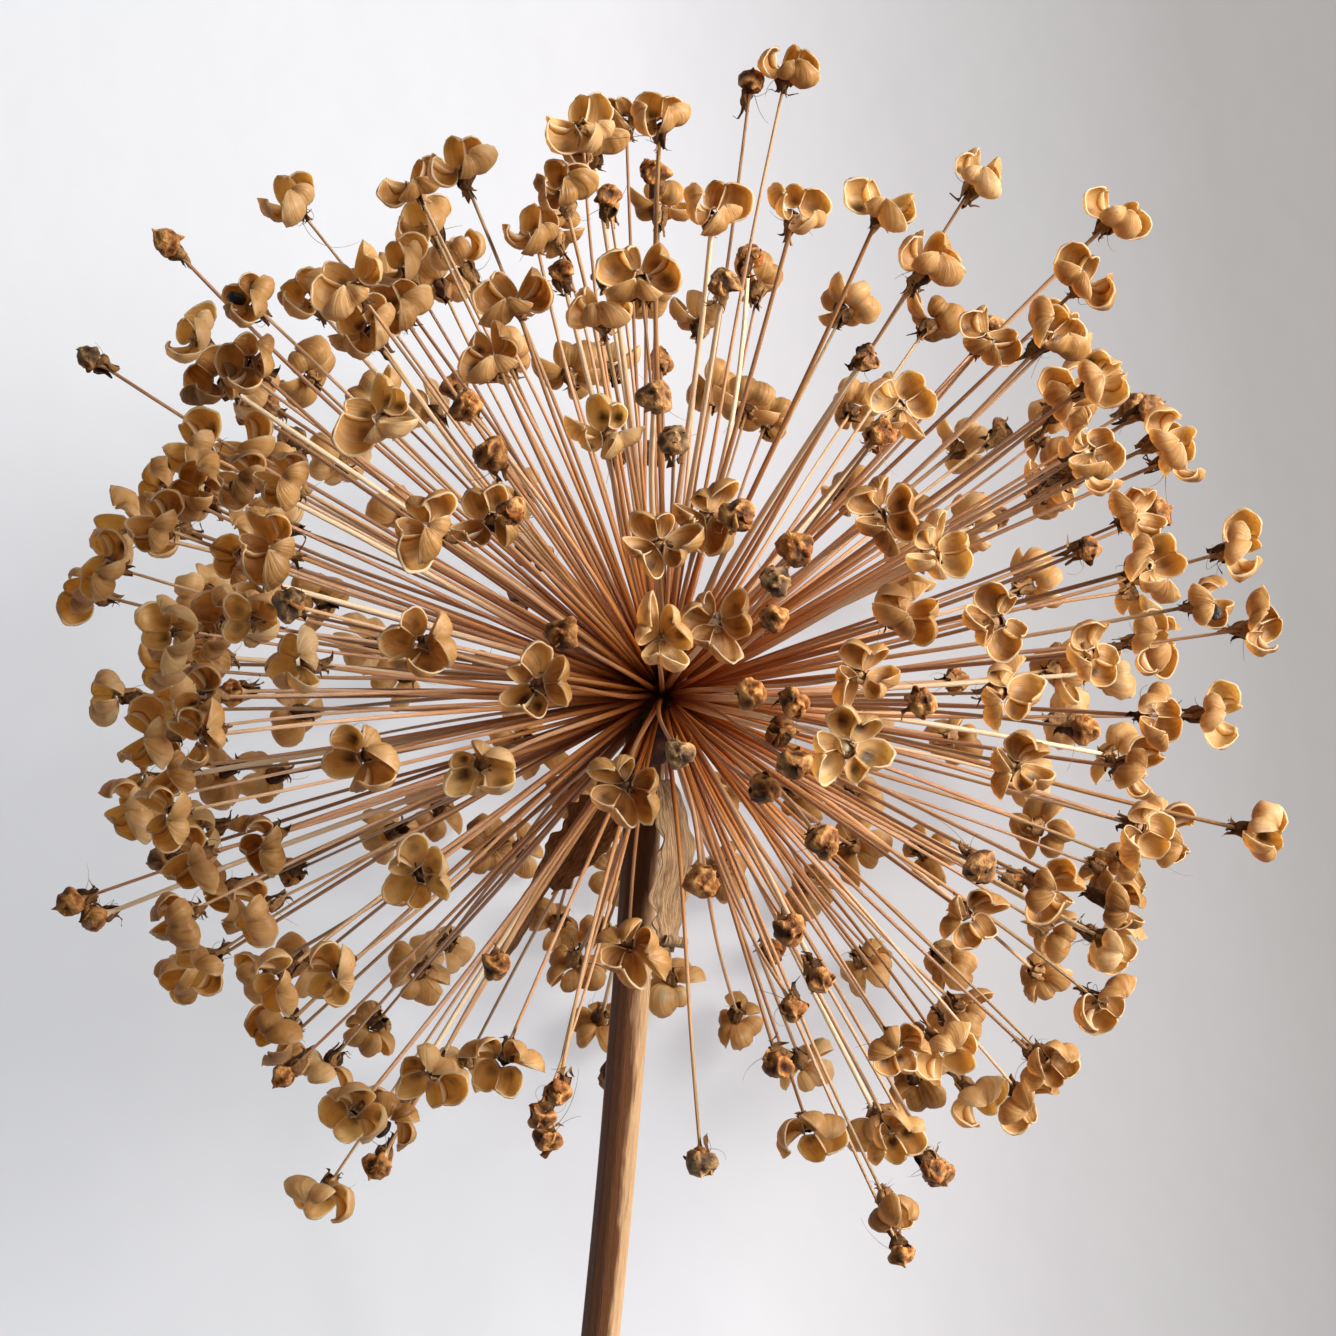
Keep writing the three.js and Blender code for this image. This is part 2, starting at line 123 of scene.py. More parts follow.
def stem_middle(down):
    """Points on the stem's line, so many millimetres below the receptacle's middle."""
    down = np.asarray(down, float)
    return joined(STEM_OFFSET - STEM_LEAN_START * down - STEM_LEAN_GROWTH * down * down, 0.0, -down)


def wrinkle(points, wave, seed):
    """An uneven height, mostly from -1 to 1, that changes over about one wave length."""
    pick = default_rng(seed)
    height = np.zeros(points.shape[:-1])
    for _ in range(WAVES):
        way = pick.normal(size=3)
        way *= 2 * math.pi * pick.uniform(0.7, 1.4) / wave / np.linalg.norm(way)
        height += np.sin(points @ way + pick.uniform(0, 2 * math.pi))
    return 2 * height / WAVES


def skin_faces(rings, sides):
    """Four-cornered faces of a skin through rings of points."""
    ring = np.arange(rings - 1)[:, None] * sides
    side = np.arange(sides)
    after = (side + 1) % sides
    return joined(ring + side, ring + after, ring + sides + after, ring + sides + side).reshape(-1, 4)


def grown(name, points, faces, copies, finish, slot, node, looks=None, grain=None):
    """One piece of the dry head from points in millimetres, with the same faces for each copy in
    them; looks and grain go to its finish. What would dip below the surface is flat on it."""
    mesh = bpy.data.meshes.new(name)
    points = points.reshape(-1, 3)
    steps = np.arange(copies)[:, None, None] * (len(points) // copies)
    faces = [(face + steps).reshape(-1, face.shape[1]) for face in faces]
    corners = np.concatenate([face.ravel() for face in faces])
    sizes = np.concatenate([np.full(len(face), face.shape[1]) for face in faces])
    place = laid_down(points)
    place[:, 2] = np.maximum(place[:, 2], 0)
    mesh.vertices.add(len(points))
    mesh.vertices.foreach_set("co", place.ravel())
    mesh.loops.add(len(corners))
    mesh.loops.foreach_set("vertex_index", corners)
    mesh.polygons.add(len(sizes))
    mesh.polygons.foreach_set("loop_start", np.cumsum(sizes) - sizes)
    mesh.polygons.foreach_set("use_smooth", np.ones(len(sizes), bool))
    mesh.update(calc_edges=True)
    if looks is not None:
        mesh.attributes.new("looks", "FLOAT_COLOR", "POINT").data.foreach_set("color", looks.ravel())
    if grain is not None:
        mesh.attributes.new("grain", "FLOAT_VECTOR", "POINT").data.foreach_set("vector", grain.ravel())
    mesh.validate()
    mesh.materials.append(finish)
    piece = placed(name, mesh)
    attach(piece, "root")
    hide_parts(node)


def colour(red, green, blue):
    """A colour as the eye reads it, 0 to 255, to the light values that a finish takes."""
    parts = np.array([red, green, blue]) / 255
    light = np.where(parts <= 0.04045, parts / 12.92, ((parts + 0.055) / 1.055) ** 2.4)
    return (*light, 1.0)


def new_finish(name):
    """A material with an empty node tree, and that tree."""
    material = bpy.data.materials.new(name)
    material.use_nodes = True
    material.node_tree.nodes.clear()
    return material, material.node_tree


def step(tree, kind, inputs, output=0, **settings):
    """Adds a node with these settings and inputs, each a value or another step's output."""
    node = tree.nodes.new("ShaderNode" + kind)
    for key, value in settings.items():
        setattr(node, key, value)
    for key, value in inputs.items():
        if isinstance(value, bpy.types.NodeSocket):
            tree.links.new(value, node.inputs[key])
        else:
            node.inputs[key].default_value = value
    return node.outputs[output]


def scaled(tree, value, by, plus=0.0):
    """A value times a number, plus another; either may be a step's output."""
    return step(tree, "Math", {0: value, 1: by, 2: plus}, operation="MULTIPLY_ADD")


def place_of(tree):
    """The place on the laid head, in metres."""
    return step(tree, "TexCoord", {}, "Object")


def noise(tree, place, scale, detail=3.0):
    """Cloudy noise from 0 to 1 over a place."""
    return step(tree, "TexNoise", {"Vector": place, "Scale": scale, "Detail": detail, "Roughness": 0.55})


def fibres(tree, stretch, detail=3.0):
    """Noise over the piece's own grain, stretched along each of the grain's axes."""
    grain = step(tree, "Attribute", {}, "Vector", attribute_name="grain")
    drawn_out = step(tree, "VectorMath", {0: grain, 1: stretch}, operation="MULTIPLY")
    return noise(tree, drawn_out, 1.0, detail)


def graded(tree, value, *stops):
    """Colours by a value: each stop is that value and a red, green and blue."""
    node = tree.nodes.new("ShaderNodeValToRGB")
    while len(node.color_ramp.elements) < len(stops):
        node.color_ramp.elements.new(0.5)
    for element, (at, *shade) in zip(node.color_ramp.elements, stops):
        element.position = at
        element.color = colour(*shade)
    tree.links.new(value, node.inputs[0])
    return node.outputs[0]


def spread(tree, value, low, high, to_low=0.0, to_high=1.0):
    """A value stretched from low and high to a new range, and kept inside it."""
    return step(tree, "MapRange", {0: value, 1: low, 2: high, 3: to_low, 4: to_high}, clamp=True)


def mixed(tree, share, first, second, blend_type="MIX"):
    """The second colour over the first by a share from 0 to 1."""
    return step(tree, "Mix", {0: share, 6: first, 7: second}, 2, data_type="RGBA", blend_type=blend_type)


def looks_of(tree):
    """The piece's painted looks as four numbers."""
    node = tree.nodes.new("ShaderNodeAttribute")
    node.attribute_name = "looks"
    parts = tree.nodes.new("ShaderNodeSeparateColor")
    tree.links.new(node.outputs["Color"], parts.inputs[0])
    return *parts.outputs, node.outputs["Alpha"]


def finished(tree, shade, roughness, height, relief, through=0.0, shine=0.5, glow=0.0):
    """Ends a finish: the surface, its relief in metres, the share of light let through, which
    comes out warmer than light off the surface, and its glow."""
    normal = step(tree, "Bump", {"Height": height, "Distance": relief, "Strength": 1.0})
    inputs = {"Base Color": shade, "Roughness": roughness, "Normal": normal, "Specular IOR Level": shine}
    if glow:
        inputs |= {"Emission Color": shade, "Emission Strength": glow}
    surface = step(tree, "BsdfPrincipled", inputs)
    if through:
        warmer = mixed(tree, 1.0, shade, colour(255, 250, 226), "MULTIPLY")
        behind = step(tree, "BsdfTranslucent", {"Color": warmer, "Normal": normal})
        surface = step(tree, "MixShader", {0: through, 1: surface, 2: behind})
    tree.links.new(surface, tree.nodes.new("ShaderNodeOutputMaterial").inputs["Surface"])


def stem_finish():
    """Dry woody skin: fine fibres lengthwise, dark split streaks, one side brown, partly as painted shade.
    """
    material, tree = new_finish("stem_skin")
    side, cut, *_ = looks_of(tree)
    fine = fibres(tree, (26, 26, 0.5), 4.0)
    streaks = fibres(tree, (7, 7, 0.09))
    patches = fibres(tree, (1.2, 1.2, 0.16), 2.0)
    bleached = mixed(tree, fine, colour(196, 146, 98), colour(250, 208, 158))
    # The brown side's colour: partly the stem's own, partly painted shade.
    brown_and_shade = mixed(tree, fine, colour(82, 42, 18), colour(142, 88, 46))
    shaded = scaled(tree, side, 1.0, scaled(tree, patches, 1.1, -0.55))
    skin = mixed(tree, spread(tree, shaded, 0.36, 0.66), bleached, brown_and_shade)
    skin = mixed(tree, spread(tree, streaks, 0.6, 0.7, 0.0, 0.75), skin, colour(92, 50, 22))
    skin = mixed(tree, cut, skin, colour(132, 88, 48))
    finished(tree, skin, 0.5, scaled(tree, streaks, 0.6, fine), 0.0002, shine=0.3)
    return material


stem_end = RECEPTACLE_PLACE[2] - STEM_END_RADIUS * math.cos(AXIS_RISE)
stem_length = stem_end / math.sin(AXIS_RISE)
down = np.linspace(STEM_TOP, stem_length, STEM_RINGS)
part = (down - STEM_TOP) / (stem_length - STEM_TOP)
around = turns(STEM_SIDES)
round_stem = joined(np.cos(around), np.sin(around), 0.0)
radius = (STEM_TOP_RADIUS + (STEM_END_RADIUS - STEM_TOP_RADIUS) * part)[:, None]
wander = 0.5 * np.sin(down / 9) + 0.3 * np.sin(down / 3.7)
ribs = np.cos(STEM_RIBS * around + wander[:, None]) - 1
middles = stem_middle(down)[:, None]
lumps = wrinkle((middles + round_stem * radius[..., None]) * (1, 1, 0.25), 4.0, 3) - 1
skin = middles + round_stem * (radius + STEM_RIB * ribs + STEM_LUMP * lumps)[..., None]
cut = [middles[-1] + (skin[-1] - middles[-1]) * out + (0, 0, lift) for out, lift in CUT_END]
skin = np.concatenate([skin, np.stack(cut)])
looks = np.zeros((len(skin), STEM_SIDES, 4))
# Brown on the left side, partly the stem's own colour and partly painted shade away from the lamps; more
# brown over the top part.
looks[..., 0] = np.clip(0.5 + 0.75 * np.cos(around - BROWN_AND_SHADE_SIDE), 0, 1)
looks[:STEM_RINGS, :, 0] += BROWN_AT_TOP * np.interp(down, BROWN_TOP, (1, 0))[:, None]
looks[STEM_RINGS:, :, 1] = 0.8
grain = joined(2 * np.cos(around), 2 * np.sin(around), -skin[..., 2])
faces = [skin_faces(len(skin), STEM_SIDES)[:, ::-1]]
grown("stem_skin", skin, faces, 1, stem_finish(), "dry_stem", "stem", looks, grain)

# ------------------------------
# The bracts: the papery sheath that once wrapped the bud, split into three torn strips that
# hang from the stem's top. They are thin, ribbed lengthwise and frayed along their edges, and
# the pale one's end has rolled over. Each ribbon is x, y, z and width along its middle.
BRACTS = {
    "spathe_pale": {
        "across": (0.74, 0.66, 0.1), "cup": 0.35, "rolled": 5.0, "slot": "pale_bract",
        "ribbon": [(0.4, -1.65, -8.3, 2.4), (1.4, -2.9, -11.5, 4.0), (1.9, -4.0, -15.5, 4.6),
                   (1.2, -4.5, -19.5, 4.4), (0.9, -4.9, -22.5, 3.6), (0.7, -5.7, -24.9, 2.6)],
        "light": (236, 200, 156), "dark": (184, 140, 98), "deep": (112, 72, 40),
    },
    "spathe_broad": {
        "across": (0.5, -0.75, -0.45), "cup": -0.22, "rolled": 0.0, "slot": "brown_bract",
        "ribbon": [(-3.16, -2.14, -8.3, 2.6), (-4.6, -2.9, -10.6, 5.4), (-6.8, -3.6, -13.2, 7.0),
                   (-9.2, -3.9, -16.2, 6.0), (-11.2, -3.7, -19.0, 3.0)],
        "light": (198, 144, 92), "dark": (136, 84, 44), "deep": (72, 38, 16),
    },
    "spathe_long": {
        "across": (0.62, 0.75, -0.2), "cup": 0.3, "rolled": 0.0, "slot": "brown_bract",
        "ribbon": [(-4.05, 1.0, -8.1, 2.2), (-6.2, 1.2, -11.2, 3.4), (-9.4, 1.0, -15.4, 4.0),
                   (-12.4, 0.6, -20.2, 3.4), (-15.2, 0.0, -25.2, 2.6), (-17.0, -0.8, -28.6, 1.2)],
        "light": (168, 120, 78), "dark": (108, 70, 40), "deep": (56, 32, 16),
    },
}
BRACT_ROWS = 90
BRACT_COLUMNS = 31
BRACT_THICK = 0.14
BRACT_RIBS = 9
BRACT_RIB = 0.09
BRACT_CREASE = 0.55
BRACT_FRAY = 0.18
BRACT_ROLL_RADIUS = 0.8


def smooth_path(points, parts):
    """Points along a smooth curve through the given ones, at parts from 0 to 1 of their list."""
    points = np.asarray(points, float)
    padded = np.concatenate([[2 * points[0] - points[1]], points, [2 * points[-1] - points[-2]]])
    place = np.asarray(parts) * (len(points) - 1)
    low = np.minimum(place.astype(int), len(points) - 2)
    t = (place - low).reshape(-1, *[1] * (points.ndim - 1))
    a, b, c, d = (padded[low + k] for k in range(4))
    return b + 0.5 * t * (c - a + t * (2 * a - 5 * b + 4 * c - d + t * (3 * (b - c) + d - a)))


def sheet_faces(rows, columns):
    """Faces of a thin sheet's skin, when each row runs over its front and back over its back."""
    column = np.arange(columns - 1)
    low = joined(column + 1, column, 2 * columns - 1 - column, 2 * columns - 2 - column)
    return [skin_faces(rows, 2 * columns), low, low[:, ::-1] + (rows - 1) * 2 * columns]


def there_and_back(places):
    """Places across the front of a sheet, and then the same ones back over its back."""
    return np.concatenate([places, places[::-1]])


def bract_sheet(ribbon, across, cup, rolled):
    """The middle surface of a bract, with its rows' places along it and its columns' across."""
    along = np.linspace(0, 1, BRACT_ROWS)
    over = np.linspace(-1, 1, BRACT_COLUMNS)
    ribbon = np.array(ribbon)
    if rolled:
        further = unit(ribbon[-1, :3] - ribbon[-2, :3]) * rolled
        ribbon = np.vstack([ribbon, ribbon[-1] + (*further, 0)])
    path = smooth_path(ribbon, along)
    middle, width = path[:, :3], path[:, 3:]
    tangent = unit(np.gradient(middle, axis=0))
    side = unit(np.asarray(across) - tangent * (tangent @ np.asarray(across))[:, None])
    up = np.cross(side, tangent)
    place = joined(along[:, None] * 30, over * 4, ribbon[0, 0] * 7)
    fray = 1 + BRACT_FRAY * wrinkle(place * (1, 0.6, 1), 2.3, 21) * np.abs(over) ** 4
    half = width / 2 * fray
    ribs = np.cos(math.pi * BRACT_RIBS * over + 1.5 * np.sin(6 * along[:, None]))
    lift = half * cup * over**2 + BRACT_RIB * ribs
    lift += BRACT_CREASE * wrinkle(place, 6.0, 22) * along[:, None]
    sheet = middle[:, None] + side[:, None] * (half * over)[..., None] + up[:, None] * lift[..., None]
    long = np.linalg.norm(np.diff(middle, axis=0), axis=1).sum()
    past = np.clip(long * along - (long - rolled), 0, None)[:, None]
    turn = past / BRACT_ROLL_RADIUS
    curl = tangent * (BRACT_ROLL_RADIUS * np.sin(turn) - past) - up * BRACT_ROLL_RADIUS * (1 - np.cos(turn))
    return sheet + curl[:, None], along, over


def bract_finish(name, light, dark, deep):
    """Dry papery bract: pale fibres on a darker sheet, deep brown in patches."""
    material, tree = new_finish(name)
    edge, *_ = looks_of(tree)
    fine = fibres(tree, (14, 0.8, 1), 4.0)
    patches = fibres(tree, (1.1, 0.35, 1))
    sheet = mixed(tree, spread(tree, fine, 0.35, 0.65), colour(*dark), colour(*light))
    sheet = mixed(tree, spread(tree, patches, 0.5, 0.68, 0.0, 0.75), sheet, colour(*deep))
    sheet = mixed(tree, scaled(tree, edge, 0.35), sheet, colour(*light))
    finished(tree, sheet, 0.7, fine, 0.0003, through=0.15, shine=0.25)
    return material


for name, bract in BRACTS.items():
    sheet, along, over = bract_sheet(bract["ribbon"], bract["across"], bract["cup"], bract["rolled"])
    slope_along, slope_across = np.gradient(sheet, axis=(0, 1))
    half_thick = unit(np.cross(slope_across, slope_along)) * BRACT_THICK / 2
    skin = np.concatenate([sheet + half_thick, (sheet - half_thick)[:, ::-1]], axis=1)
    over = there_and_back(over)
    looks = np.zeros((*skin.shape[:2], 4))
    looks[..., 0] = np.abs(over) ** 6
    grain = joined(over * 2, along[:, None] * 18, 0.0)
    finish = bract_finish(name.replace("spathe", "bract"), bract["light"], bract["dark"], bract["deep"])
    faces = sheet_faces(BRACT_ROWS, BRACT_COLUMNS)
    grown(name + "_sheet", skin, faces, 1, finish, bract["slot"], name, looks, grain)

# ------------------------------
# The receptacle: the swollen top of the stem that every flower stalk grows from. It is a dark,
# pitted, woody knob, mostly hidden between the roots of the stalks.
RECEPTACLE_OUTLINE = (
    (1.9, -6.8), (2.2, -5.4), (2.6, -4.4), (3.5, -2.2), (3.8, 0.2), (3.1, 2.3), (1.6, 3.3), (0.02, 3.5),
)
RECEPTACLE_RINGS = 40
RECEPTACLE_SIDES = 64
RECEPTACLE_PIT = 0.055
SMOOTH_BELOW = -5


def receptacle_finish():
    """Dark red-brown wood, almost black in places."""
    material, tree = new_finish("receptacle_wood")
    grainy = noise(tree, place_of(tree), 900.0, 4.0)
    wood = graded(tree, grainy, (0.35, 46, 16, 5), (0.7, 104, 56, 26))
    finished(tree, wood, 0.8, grainy, 0.0003)
    return material


outline = smooth_path(RECEPTACLE_OUTLINE, np.linspace(0, 1, RECEPTACLE_RINGS))
out, high = outline[:, :1], outline[:, 1:]
around = turns(RECEPTACLE_SIDES)
foot = -RECEPTACLE_OUTLINE[0][1]
knob = joined(out * np.cos(around), out * np.sin(around), high)
knob = knob + np.clip(-high / foot, 0, 1)[..., None] * (stem_middle(foot) * (1, 0, 0))
knob = knob * (1 + RECEPTACLE_PIT * wrinkle(knob, 1.3, 5) * (high > SMOOTH_BELOW))[..., None]
faces = [skin_faces(RECEPTACLE_RINGS, RECEPTACLE_SIDES)]
grown("receptacle", knob, faces, 1, receptacle_finish(), "dry_stem", "umbel")

# ------------------------------
# Where the flowers stood: over three hundred, each on a stalk of its own, out to a round head.
# The ones that the photograph shows are given as millimetres right and up of the
# receptacle; the rest follow the part's own rule: of several places, the one with most room.
FRONT_CAPSULES = [
    (-0.2, 6.5), (5.8, 8), (-12.7, 1.5), (-3.7, -9), (-0.2, 16), (4.8, 19), (20.8, 2.5),
    (19.3, -5), (-18.7, -7), (-30.7, -6), (-37.2, 3.5), (-24.7, 5.5), (-25.2, -18.5),
    (-3.4, -25.5), (-17.7, 18.5), (-23.7, 17.5), (-5.7, 27.5), (-29.2, 29), (-17.2, 35),
    (-15.2, 41), (-6.2, 39.5), (-2.2, 43.5), (24.8, 30.5), (22.8, 19), (28.3, 15),
    (24.8, 8.5), (35.3, 0.5), (34.8, 8), (36.8, -7), (31.8, -22.5), (39.8, -19.5),
    (24.3, -36), (-16.5, -37.5), (-33.7, -28.5), (-41.2, 12), (-42.7, 22.5), (42.3, 31.5),
    (44.8, 4.5), (46.3, -25.5), (48.8, 18.5), (5.3, 50), (13.8, 50), (-30.4, 38),
    (32.3, -41.5), (29.3, -36.5), (-40.7, -14.5), (-47.2, 0), (33.8, 37),
]
FRONT_BUDS = [
    (-10, 6.5), (11.6, 12), (13.8, 15), (11.5, 8), (9, 0.5), (13.3, -0.2), (10.3, -9),
    (26.3, -0.2), (-17.2, 24.5), (1.3, 26), (16.3, -14.5), (13, -23.5), (13.5, -31.5),
    (-16.9, -27), (-10.5, -40), (42.8, -3.3), (43.3, 15), (-19.7, 29.5), (20.6, 34.5),
    (4.1, -18.5),
]
EDGE_CAPSULES = [
    (12.8, 64), (46.3, 49), (32.3, 53), (43.3, 42.5), (52.8, 24.5), (58.8, 15), (61.5, 7),
    (60.8, -14), (50.8, -2), (49.8, -13.5), (39.8, -37.5), (15.3, -45), (23.3, -52.5),
    (-34.7, -51), (-27.7, -43.5), (-39.2, -34.5), (-47.2, -27.5), (-49.2, -22.5),
    (-48.2, -16.5), (-53.7, -9), (-58.7, 10.5), (-55.2, 17), (-50.7, 3), (-47.2, 21.5),
    (-48, 37), (-42.2, 40.5), (-37.7, 50.5), (-25.7, 53), (-20.7, 54.3), (-13.2, 48),
    (-10.2, 52), (-3.7, 59.5), (22.8, 50.5), (55.8, 9.5), (-23.7, -39),
]
EDGE_BUDS = [
    (24.3, -56.5), (4, -47), (-11.7, -45), (-28.7, -47.5), (-38.2, -38.5), (-59.4, -20.8),
    (-57.7, 34.1), (-49.7, 45.5), (9, 62), (49.3, 29), (28.3, -48.5),
]
MORE_CAPSULES = [
    (-26.7, 44.5), (-27, 39.7), (-20.2, 21.5), (-48.2, 25.5), (-43, 25.5), (-38.2, 22),
    (-39.7, 15.5), (-43.7, 15), (-42.2, 8), (-45.7, 7.5), (-46.2, 4), (-50.2, -1.5),
    (-47.7, -4), (-50.2, -7.5), (-50.7, -12), (-41.7, -22), (-39.7, -29), (-31.7, -43),
    (23.8, -45), (37.3, -41.5), (46.8, -21.5), (48.8, -7.5), (50.3, 5.5), (50.3, 13.5),
    (44.3, 25.5), (32.8, 48), (27.3, 44.5), (15.3, 55.5), (-7.2, 56.5), (-8.2, 59),
    (-0.2, 59), (-31.7, 42.5), (-36.4, 41), (-45.7, 32.5), (-42.5, 34.5), (39.8, 37),
    (-52.7, -4), (-54.2, -11), (-51.7, 17.5), (-57.2, 13.5), (51.8, 26.5), (-50.2, 7),
    (6, 55), (17.5, 50.6), (20.4, 51.6), (30.6, 42.2), (34.7, 41), (32.8, 37.2), (44.7, 32.5),
    (41.5, 30), (44, 23.5),
]
MORE_BUDS = [
    (-5.4, 50.7), (-0.7, 53), (-10.2, 43.3), (6.3, 42), (22.3, 27), (-0.7, 30.5),
    (-15.2, 19), (7.8, 18.5), (12.3, -3.5), (13.5, -6.5), (1.8, -5.5), (-35.7, -40.5),
    (-37.7, -42.5), (-57.2, -22.5), (-12.2, -42.5), (11.8, -37), (16, -28.5), (32.3, -17),
    (-43.7, 0.5), (-37.7, 9.5), (27.3, -48),
]
BACK_CAPSULES = [
    (-36.7, 33), (-41.2, 30.5), (-23, 42.5), (-23.7, 29), (-33.2, 23.5), (-47.2, 10.5),
    (-30.2, 5), (-37.7, -2), (-45.7, -8), (-26.2, -13.5), (-45.2, -20.5), (-25.2, -29),
    (-11.7, -25.5), (-9.2, -28), (-7.2, -29.5), (-6.7, -35.5), (7.8, -33.5), (26.3, -40),
    (38.8, -29), (29.3, -27.5), (48.8, -17.5), (40.8, 2.5), (33.8, 41), (27.8, 38.5),
    (14.3, 45), (7.3, 54.5), (5.8, 45.5), (10, 42.3), (5.3, 31), (8.8, 29.5), (19.8, 29.5),
    (-9.7, 33), (-5.2, 33.5), (19.8, -16), (20.8, -28), (6.3, -18.5), (-16.2, -17.5), (40.8, 37),
]
BACK_BUDS = [(35.8, -19), (-0.2, 33.5), (34.3, 26.5), (23.3, 44.5)]
RAY_REACH = 54
REACH_SPREAD = 6
REACH_STEPS = (0, 1.5, -1.5, 3, -3, 4.5, -4.5, 6, 7.5)
STEM_CONE = math.radians(30)
STALK_CLEAR = 1
ROOM = {"capsule": 4.2, "bud": 2.3}
DRAWN_FLORETS = 73
CAPSULE_SHARE = 0.74
CANDIDATES = 14
HIDDEN_FROM = math.radians(84)
LEAST_GAP = -1.9
ALL_FLORETS = 320
DRAW_SEED = 7
DRAW_MULTIPLIER = 48271
DRAW_MODULUS = 2147483647
DRAW_WARM_UP = 4


def length(vector):
    return math.sqrt(vector @ vector)


def seeded_draw(seed):
    """The part's repeatable draw: a function that gives the next number from 0 to 1."""
    state = seed

    def draw():
        nonlocal state
        state = state * DRAW_MULTIPLIER % DRAW_MODULUS
        return state / DRAW_MODULUS

    for _ in range(DRAW_WARM_UP):
        draw()
    return draw


def point_seen_at(seen, reach, near_side):
    """The point at this reach that the viewer sees there, or the sight line's nearest point."""
    across, up = seen
    start = towards_viewer * VIEW_DISTANCE
    sight = up_in_view * up + to_right * across - start
    closest = start - sight * (start @ sight) / (sight @ sight)
    spare = reach * reach - closest @ closest
    if spare <= 0:
        return closest
    return closest - sight / length(sight) * math.sqrt(spare) * near_side


bract_points = [(np.array(at), width) for bract in BRACTS.values() for *at, width in bract["ribbon"]]
along_stem = stem_middle(RAY_REACH) / length(stem_middle(RAY_REACH))


def stalk_is_clear(way):
    """A stalk keeps out of the cone round the stem and clear of the bracts."""
    if math.acos(min(1, max(-1, way @ along_stem))) < STEM_CONE:
        return False
    return all(length(at - way * (at @ way)) > width / 2 + STALK_CLEAR for at, width in bract_points)


def floret_at(middle, kind, florets):
    """A floret at a place, and the gap that is left between it and the nearest of the others."""
    gaps = (length(other["middle"] - middle) - ROOM[kind] - ROOM[other["kind"]] for other in florets)
    return {"middle": middle, "kind": kind, "gap": min(gaps, default=math.inf)}


def roomiest(tries):
    return max(tries, key=lambda floret: floret["gap"])


def hand_set(florets, seen, kind, draw, near_side=1):
    """A floret at a place that the viewer sees, moved nearer or further to where it has room."""
    reach = RAY_REACH + (draw() - 0.5) * REACH_SPREAD
    tries = []
    for change in REACH_STEPS:
        tries.append(floret_at(point_seen_at(seen, reach + change, near_side), kind, florets))
        if tries[-1]["gap"] > 0:
            break
    return roomiest(tries)


def drawn_floret(florets, draw):
    """Of several random places on the side away from the viewer, the one with most room."""
    kind = "capsule" if draw() < CAPSULE_SHARE else "bud"
    tries = []
    while len(tries) < CANDIDATES:
        height = 2 * draw() - 1
        turn = 2 * math.pi * draw()
        reach = RAY_REACH + (draw() + draw() - 1) * REACH_SPREAD
        level = math.sqrt(1 - height * height)
        way = np.array([level * math.cos(turn), level * math.sin(turn), height])
        if math.acos(way @ towards_viewer) >= HIDDEN_FROM and stalk_is_clear(way):
            tries.append(floret_at(way * reach, kind, florets))
    return roomiest(tries)


florets = []
draw = seeded_draw(DRAW_SEED)
for places, kind in (
    (FRONT_CAPSULES, "capsule"), (FRONT_BUDS, "bud"), (EDGE_CAPSULES, "capsule"), (EDGE_BUDS, "bud"),
):
    for seen in places:
        florets.append(hand_set(florets, seen, kind, draw))
for _ in range(DRAWN_FLORETS):
    florets.append(drawn_floret(florets, draw))
for places, kind, near_side in (
    (MORE_CAPSULES, "capsule", 1), (MORE_BUDS, "bud", 1),
    (BACK_CAPSULES, "capsule", -1), (BACK_BUDS, "bud", -1),
):
    for seen in places:
        floret = hand_set(florets, seen, kind, draw, near_side)
        if floret["gap"] > LEAST_GAP and stalk_is_clear(floret["middle"] / length(floret["middle"])):
            florets.append(floret)
while len(florets) < ALL_FLORETS:
    floret = drawn_floret(florets, draw)
    if floret["gap"] < LEAST_GAP:
        break
    florets.append(floret)

AXIS_LEAN = math.radians(16)
LEAN_TO_LIGHT = 0.42
FACES_AWAY = -0.3
SIZES = {"capsule": (0.9, 1.06), "bud": (0.85, 1.15)}
RISE = {"capsule": 2.2, "bud": 1.45}


def turned_about(vector, axis, angle):
    """A vector turned about an axis of length one."""
    kept = axis * (axis @ vector) * (1 - math.cos(angle))
    return vector * math.cos(angle) + np.cross(axis, vector) * math.sin(angle) + kept


for index, floret in enumerate(florets):
    draw = seeded_draw(DRAW_SEED + 1 + index)
    way = floret["middle"] / length(floret["middle"])
    side = turned_about(unit(np.cross((0, 0, 1), way)), way, 2 * math.pi * draw())
    axis = turned_about(way, side, (draw() - 0.5) * AXIS_LEAN)
    near = way @ towards_viewer
    to_light = towards_viewer if near > FACES_AWAY else -towards_viewer
    axis = unit(axis + LEAN_TO_LIGHT * (1 - abs(near)) * to_light)
    side = unit(np.cross(np.cross(axis, side), axis))
    smallest, largest = SIZES[floret["kind"]]
    floret["size"] = smallest + (largest - smallest) * draw()
    floret["open"] = draw()
    floret["turn"] = np.stack([side, np.cross(axis, side), axis])
    floret["way"] = way
    floret["base"] = floret["middle"] - way * RISE[floret["kind"]]


def each(florets, key):
    return np.stack([floret[key] for floret in florets])


def standing(florets, shapes):
    """Shapes in each floret's own directions, set on the ends of the stalks."""
    return np.einsum("npk,nkj->npj", shapes, each(florets, "turn")) + each(florets, "base")[:, None]


def lifted(florets, shapes):
    """Draws florets back along their stalks where their shapes reach below the surface."""
    lowest = laid_down(standing(florets, shapes))[..., 2].min(-1) / MM
    for floret, low in zip(florets, lowest):
        if low < 0:
            floret["base"] += floret["way"] * (-low / (floret["way"] @ HEAD_TURN)[2])
